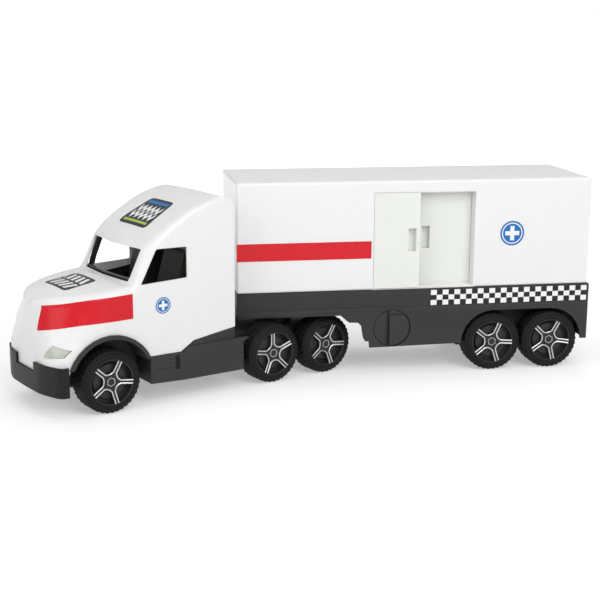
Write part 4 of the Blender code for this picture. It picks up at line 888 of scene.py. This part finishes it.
def bend(start, control, end, share):
    return start * (1 - share) ** 2 + control * 2 * share * (1 - share) + end * share**2


sideLevels = (0.0535, 0.0640, 0.0700, 0.0750, 0.0780, 0.0805, 0.0835, 0.0870, 0.0915, 0.0980, 0.1070, 0.1170)


def within(count):  # shares of a run that its ends leave out
    return [k / (count + 1) for k in range(1, count + 1)]


def cabRow(crown, edge, corner, top, side):
    return [*crown, edge, *[bend(edge, corner, top, k) for k in within(cab["cornerPoints"])], top, *side]


def stationRow(station):
    midY, midZ, inset, edgeY, edgeZ, sideY, sideZ, lowY, lowZ = station
    middle = Vector((0.0, midY, midZ))
    edge = Vector((cab["halfWidth"] - inset, edgeY, edgeZ))
    top = Vector((cab["halfWidth"], sideY, sideZ))
    bottom = Vector((cab["halfWidth"], lowY, lowZ))
    crown = [middle]
    for share in within(cab["crownPoints"]):
        place = middle.lerp(edge, share)
        place.z = midZ - (midZ - edgeZ) * share**2
        crown.append(place)
    corner = Vector((cab["halfWidth"], top.y + (edge.y - top.y) * 0.9, edge.z - cab["cornerDrop"]))
    shares = [(level - nose["low"]) / (cab["sideReference"] - nose["low"]) for level in reversed(sideLevels)]
    return cabRow(crown, edge, corner, top, [bottom.lerp(top, share) for share in shares])


def hoodStation(y):
    halfWidth, height = hoodEdge(y)
    inset = cab["halfWidth"] - halfWidth
    return (y, hoodMiddle(y), inset, y, height, y, height - cab["shoulderDrop"], y, cab["low"])


def fanRow(angle):  # one upright section of the nose through its pivot
    direction = Vector((math.cos(angle), -math.sin(angle), 0.0))
    pivot = Vector((0.0, nose["pivot"], 0.0))
    edge = pivot + direction * hoodReach(angle)
    edge.z = hoodEdge(edge.y)[1]
    middle = Vector((0.0, nose["pivot"], hoodMiddle(nose["pivot"])))

    def at(level):
        place = pivot + direction * noseReach(angle, level)
        return Vector((place.x, place.y, level))

    top, side = at(edge.z - cab["shoulderDrop"]), [at(level) for level in reversed(sideLevels)]
    crown = [middle]
    for share in within(cab["crownPoints"]):
        place = middle.lerp(edge, share)
        halfWidth, height = hoodEdge(place.y)
        rise = hoodMiddle(place.y) - height
        place.z = height + rise * (1.0 - min(1.0, place.x / max(halfWidth, 0.0003)) ** 2)
        crown.append(place)
    corner = Vector((top.x, top.y, edge.z - cab["cornerDrop"]))
    row = cabRow(crown, edge, corner, top, side)
    if math.cos(angle) < 1e-6:
        for place in row:
            place.x = 0.0
    return row


def softRun(points, per):  # centripetal curve through points of any length
    points = [np.array(point, float) for point in points]
    points = [2 * points[0] - points[1], *points, 2 * points[-1] - points[-2]]
    knots = [0.0]
    for first, second in zip(points, points[1:]):
        knots.append(knots[-1] + math.sqrt(np.linalg.norm(second - first)))
    run = []

    def between(first, second, start, end, at):
        return (first * (end - at) + second * (at - start)) / (end - start)

    for k in range(1, len(points) - 2):
        p, t = points[k - 1:k + 3], knots[k - 1:k + 3]
        for step in range(per):
            at = t[1] + (t[2] - t[1]) * step / per
            a = [between(p[i], p[i + 1], t[i], t[i + 1], at) for i in range(3)]
            b = [between(a[i], a[i + 1], t[i], t[i + 2], at) for i in range(2)]
            place = between(b[0], b[1], t[1], t[2], at)
            place[-2:] = p[1][-2:] + (p[2][-2:] - p[1][-2:]) * step / per
            run.append(place)
    return run + [points[-2]]


def cabSkin():
    middle = (hood["rear"] + nose["pivot"]) / 2
    stations = [*cabStations, hoodStation(middle), hoodStation(nose["pivot"])]
    rows = [stationRow(station) for station in softRun(stations, cab["perStation"])]
    rows += [fanRow(angle) for angle in np.linspace(0.0, math.pi / 2, nose["fanSteps"] + 1)[1:]]
    shape = bmesh.new()
    for _, sign in sides:
        grid = [[shape.verts.new((sign * p.x, p.y, p.z)) for p in row] for row in rows]
        for line, ahead in zip(grid, grid[1:]):
            for k in range(len(line) - 1):
                corners = [line[k], line[k + 1], ahead[k + 1], ahead[k]]
                shape.faces.new(corners if sign < 0 else corners[::-1])
        first = grid[0]
        corners = first + [shape.verts.new((0.0, first[-1].co.y, first[-1].co.z))]
        shape.faces.new(corners if sign > 0 else corners[::-1])
    bmesh.ops.remove_doubles(shape, verts=shape.verts, dist=2e-6)
    bmesh.ops.dissolve_degenerate(shape, edges=shape.edges, dist=1e-6)
    return shape


def roundedOutline(points, radius, steps=5):
    outline = []
    count = len(points)
    for k in range(count):
        before, here, after = (Vector(points[(k + shift) % count]) for shift in (-1, 0, 1))
        start = here + (before - here).normalized() * radius
        end = here + (after - here).normalized() * radius
        outline += [tuple(bend(start, here, end, step / steps)) for step in range(steps + 1)]
    return outline


lamp = {
    "corners": ((0.0042, 0.0859), (0.0056, 0.0777), (0.0314, 0.0754), (0.0200, 0.0915)),  # inset and height
    "cut": (-0.006, 0.004, 0.0),  # from the nose's face: inner and outer skin; growth at the corners
    "panel": (-0.0020, -0.0002, -0.0005),
    "tilt": 0.02,
    "grid": (12, 4),
}


def noseY(x, height):
    depth, power = noseShape(height)
    share = min(1.0, abs(x) / cab["halfWidth"])
    return nose["pivot"] - depth * (1.0 - share**power) ** (1.0 / power)


def lampPatch(sign, inner, outer, grow):  # a slice of the nose between the headlight's corners
    corners = [Vector((cab["halfWidth"] - inset, z)) for inset, z in lamp["corners"]]
    middle = sum(corners, Vector((0.0, 0.0))) / 4
    corners = [corner + (corner - middle).normalized() * grow for corner in corners]
    along, up = lamp["grid"]
    grid = []
    for i in range(along + 1):
        low = corners[1].lerp(corners[2], i / along)
        high = corners[0].lerp(corners[3], i / along)
        line = []
        for k in range(up + 1):
            x, z = low.lerp(high, k / up)
            y = noseY(x, z)
            out = Vector((x, y - nose["pivot"], lamp["tilt"])).normalized()
            ends = [Vector((x, y, z)) + out * offset for offset in (inner, outer)]
            line.append((*[(sign * end.x, end.y, end.z) for end in ends], (i / along, k / up)))
        grid.append(line)
    return closedSheet(grid, False)


bumper = {
    "plan": (
        (0.0, -0.0792), (0.0200, -0.0788), (0.0410, -0.0777),
        (0.0600, -0.0727), (0.0740, -0.0674), (0.0785, -0.0627),
    ),
    "low": 0.0292,
    "middleTop": 0.0535,
    "stepX": 0.0262,
    "cornerTop": 0.0664,
    "wall": 0.0026,
    "edge": 0.0006,
}


def bumperOutline(rear):  # closed plan of the bumper's wall, from one end round to the other
    run = [Vector(point[:2]) for point in softRun([(x, y, 0.0, 0.0) for x, y in bumper["plan"]], 6)]
    run.append(Vector((bumper["plan"][-1][0] + 0.0005, rear)))
    run = [Vector((-place.x, place.y)) for place in reversed(run[1:])] + run
    inside = []
    for k, place in enumerate(run):
        along = (run[min(k + 1, len(run) - 1)] - run[max(k - 1, 0)]).normalized()
        inside.append(place + leftOf(along) * bumper["wall"])
    return [tuple(place) for place in run + inside[::-1]]


trim = {  # dark frame round the inside of the windscreen and along the doors
    "behind": 0.0034,
    "postX": 0.0618,
    "postWidth": 0.0014,
    "postDepth": 0.0085,
    "heights": (0.1590, 0.1680, 0.1780, 0.1880, 0.1965),
    "lipTop": 0.1606,
    "lipHeight": 0.0060,
    "lipDepth": 0.0034,
    "door": ((0.0560, 0.1435), (0.1140, 0.1505), (0.1140, 0.1150), (0.0560, 0.1150)),
    "doorX": 0.0752,
    "doorThick": 0.0014,
    "lipAhead": 0.0012,  # the lip stands this far before the posts
    "lowest": 0.1625,  # no place of the skin is looked for below this height
    "edge": 0.0004,
}


def frontOf(x, z):  # y of the cab's skin ahead of the seats
    return cabOutside.ray_cast(Vector((x, -0.02, z)), Vector((0.0, 1.0, 0.0)))[0].y


def addCabPiece(name, mesh, finish, replaced=()):
    addPiece(name, mesh, finish, "tractor", replaced, cabFrame)


def addTrim():
    size = trim
    shape = bmesh.new()

    def bar(rows):  # a bar through rows of four corners
        made = [[shape.verts.new(corner) for corner in row] for row in rows]
        bridge(shape, made)
        shape.faces.new(made[0][::-1])
        shape.faces.new(made[-1])

    for _, sign in sides:
        rows = []
        for z in size["heights"]:
            y = frontOf(size["postX"], max(z, size["lowest"])) + size["behind"]
            inner, outer = sign * (size["postX"] - size["postWidth"]), sign * size["postX"]
            back = y + size["postDepth"]
            rows.append([(inner, y, z), (outer, y, z), (outer, back, z), (inner, back, z)])
        bar(rows)
    rows = []
    for x in np.linspace(-size["postX"], size["postX"], 17):
        y = frontOf(x, size["lowest"]) + size["behind"] - size["lipAhead"]
        low, high, back = size["lipTop"] - size["lipHeight"], size["lipTop"], y + size["lipDepth"]
        rows.append([(x, y, low), (x, y, high), (x, back, high), (x, back, low)])
    bar(rows)
    bmesh.ops.recalc_face_normals(shape, faces=shape.faces)
    item = rawObject(smoothed(meshOf(shape, "trim"), 30), "trim")
    softEdge(item, size["edge"])
    addCabPiece("windscreenTrim", applied(item), "darkTrim")
    for side, sign in sides:
        start, end = sorted((sign * size["doorX"], sign * (size["doorX"] - size["doorThick"])))
        panel = rawObject(smoothed(meshOf(prism(size["door"], "x", start, end), "doorTrim"), 30), "doorTrim")
        softEdge(panel, size["edge"])
        addCabPiece(f"{side}_doorTrim", applied(panel), "seatMoulding")


def addBumper():
    node = frame["nodes"]["front_bumper"]
    toCab = cabFrame.inverted() @ node.matrix_world
    rear = max((toCab @ point.co).y for point in node.data.vertices)
    shape = prism(bumperOutline(rear), "z", bumper["low"], bumper["cornerTop"])
    item = rawObject(smoothed(meshOf(shape, "bumper"), 22), "bumper")
    step, top = bumper["stepX"], bumper["cornerTop"] + cab["reach"]
    notch = [(-step, bumper["middleTop"]), (step, bumper["middleTop"]), (step, top), (-step, top)]
    cutter = cutBy(item, prism(notch, "y", -0.1, 0.0))
    softEdge(item, bumper["edge"])
    addCabPiece("bumperFine", applied(item, [cutter]), "bumperMoulding", ["front_bumper"])


def addCab():
    skin = cabSkin()
    outside = BVHTree.FromBMesh(skin)
    item = rawObject(meshOf(skin, "cabSkin"), "cabSkin")
    thick = item.modifiers.new("wall", "SOLIDIFY")
    thick.thickness = cab["wall"]
    thick.offset = -1.0
    thick.use_even_offset = True
    thick.thickness_clamp = 0.0
    across = cab["halfWidth"] + cab["reach"]
    names = ("sideWindow", "windscreen")
    window, windscreen = [roundedOutline(cab[name], cab["windowRound"]) for name in names]
    cutters = [cutBy(item, prism(window, "x", -across, across))]
    cutters.append(cutBy(item, prism(windscreen, "y", *cab["windscreenSpan"])))
    radius, foot = cab["archRadius"], cab["archFoot"]
    arch = arc((0.0, wheel["radius"]), radius, 0.0, 180.0, 48) + [(-radius, foot), (radius, foot)]
    cutters.append(cutBy(item, prism(arch, "x", -across, across)))
    for _, sign in sides:
        cutters.append(cutBy(item, lampPatch(sign, *lamp["cut"])))
    mesh = smoothed(applied(item, cutters), 28)
    addCabPiece("cabSkinFine", mesh, "whiteShell", ["cab_shell"])
    for side, sign in sides:
        patch = smoothed(meshOf(lampPatch(sign, *lamp["panel"]), "lamp"), 40)
        replaced = [f"headlight_{side}"]
        addCabPiece(f"{side}_headlightPanel", patch, "headlightPanel", replaced)
    return outside


cabOutside = addCab()
addTrim()
addBumper()
print("cab ready")


# Printed films on the cab

cabPrints = {
    "bandRear": 0.0320,
    "bandTurn": {1.0: 69.5, -1.0: 61.0},
    "bandStraight": 0.20,
    "bandShares": (0.0, 0.20, 0.38, 0.59, 0.79, 1.0),
    "bandTop": (0.1463, 0.1454, 0.1446, 0.1420, 0.1384, 0.1350),
    "bandLow": (0.1154, 0.1151, 0.1150, 0.1139, 0.1101, 0.1052),
    "hood": ((0.0310, -0.0360), (0.0290, 0.0085)),  # half width and y at the front, then at the rear
    "hoodCorner": (0.006, (0.059, 0.0445)),  # corner radius, and the panel's size
    "roof": ((0.0368, 0.0724), (0.0290, 0.1200)),
    "roofCorner": (0.007, (0.066, 0.053)),
    "castSide": 0.2,  # how far from the axle a ray at the cab starts
    "castHeight": 0.30,
    "bandSpread": 0.6,  # degrees by which the band's low edge reaches further round the nose
}


def onCab(start, direction):
    place, out = cabOutside.ray_cast(start, direction)[:2]
    if out.dot(direction) > 0:
        out = -out
    return cabFrame @ place, (cabFrame.to_3x3() @ out).normalized()


def bandPlace(sign):
    size = cabPrints

    def place(u, v):
        low = eased(u, size["bandShares"], size["bandLow"])
        high = eased(u, size["bandShares"], size["bandTop"])
        z = low + (high - low) * v
        if u < size["bandStraight"]:
            y = size["bandRear"] + (nose["pivot"] - size["bandRear"]) * u / size["bandStraight"]
            return onCab(Vector((sign * size["castSide"], y, z)), Vector((-sign, 0.0, 0.0)))
        share = (u - size["bandStraight"]) / (1 - size["bandStraight"])
        turn = math.radians(size["bandTurn"][sign] + size["bandSpread"] * (1 - v)) * share
        direction = Vector((sign * math.cos(turn), -math.sin(turn), 0.0))
        return onCab(Vector((0.0, nose["pivot"], z)) + direction * size["castSide"], -direction)
    return place


def topPlace(front, rear, direction):
    def place(u, v):
        halfWidth = front[0] + (rear[0] - front[0]) * v
        start = Vector(((u - 0.5) * 2 * halfWidth, front[1] + (rear[1] - front[1]) * v, 0.0))
        lift = (cabPrints["castHeight"] - start.z) / -direction.z
        return onCab(start - direction * lift, direction)
    return place


def addCabFilms():
    for side, sign in sides:
        filmSheet(f"{side}_cabBand", bandPlace(sign), 60, 24, plainPrint("red"), "tractor", "white_shell")
        place = (sign * films["cabSide"], *films["cabBadge"])
        addBadge(f"{side}_cabBadge", place, films["cabBadgeRadius"], cabFrame, "tractor")
    down = Vector((0.0, 0.0, -1.0))
    for name, print2d in (("hood", hoodPrint), ("roof", roofPrint)):
        place, corner = topPlace(*cabPrints[name], down), cabPrints[f"{name}Corner"]
        filmSheet(f"{name}Panel", place, 16, 10, print2d, "tractor", "white_shell", *corner)


addCabFilms()
print("cab films ready")


# Floor and light

stage = {
    "floorColour": (0.80, 0.80, 0.80),
    "sky": 0.52,
    "size": 8.0,
    "glow": {"From Min": 0.6, "From Max": 1.5, "To Min": 0.36, "To Max": 1.0},  # by distance from the middle
}


def addFloor():
    shape = bmesh.new()
    bmesh.ops.create_grid(shape, x_segments=1, y_segments=1, size=stage["size"])
    item = rawObject(meshOf(shape, "floor"), "floor")
    finish = Finish("paleFloor", Roughness=0.9, Specular_IOR_Level=0.1)
    finish.shader.inputs["Base Color"].default_value = (*stage["floorColour"], 1.0)
    rays = [finish.node("ShaderNodeLightPath", out=name) for name in ("Is Camera Ray", "Is Glossy Ray")]
    seen = rays[0].maths("MAXIMUM", *rays)
    away = finish.node("ShaderNodeVectorMath", {"operation": "LENGTH"}, {0: finish.place()}, "Value")
    level = finish.node("ShaderNodeMapRange", None, {"Value": away, **stage["glow"]})
    glow = finish.node("ShaderNodeEmission", None, {"Color": (1.0, 1.0, 1.0, 1.0), "Strength": seen * level})
    both = finish.node("ShaderNodeAddShader", None, {0: Wire(finish, finish.shader.outputs[0]), 1: glow})
    output = finish.tree.nodes["Material Output"]
    finish.feed(output.inputs["Surface"], both)
    item.data.materials.append(finish.material)


def addWorld():
    world = bpy.data.worlds.new("studio")
    world.use_nodes = True
    bpy.context.scene.world = world
    nodes, links = world.node_tree.nodes, world.node_tree.links
    rays, mix = nodes.new("ShaderNodeLightPath"), nodes.new("ShaderNodeMixShader")
    links.new(rays.outputs["Is Camera Ray"], mix.inputs[0])
    grounds = ((nodes["Background"], stage["sky"]), (nodes.new("ShaderNodeBackground"), 1.0))
    for slot, (ground, strength) in enumerate(grounds):
        ground.inputs["Color"].default_value = (1.0, 1.0, 1.0, 1.0)
        ground.inputs["Strength"].default_value = strength
        links.new(ground.outputs[0], mix.inputs[slot + 1])
    links.new(mix.outputs[0], nodes["World Output"].inputs[0])


lamps = {
    "key": {"place": (1.8, 0.5, 1.4), "size": 1.4, "power": 23.0},
    "front": {"place": (1.2, -1.8, 1.2), "size": 1.4, "power": 10.0},
    "back": {"place": (-1.6, 0.6, 1.6), "size": 1.4, "power": 8.0},
}


def addLamps():
    for name, size in lamps.items():
        data = bpy.data.lights.new(name, "AREA")
        data.energy = size["power"]
        data.size = size["size"]
        item = bpy.data.objects.new(name, data)
        aim = (Vector((0.0, 0.0, 0.1)) - Vector(size["place"])).to_track_quat("-Z", "Y")
        item.matrix_world = Matrix.Translation(size["place"]) @ aim.to_matrix().to_4x4()
        bpy.context.scene.collection.objects.link(item)


addFloor()
addWorld()
addLamps()
bpy.context.scene.view_settings.view_transform = "Standard"

print("scene ready")
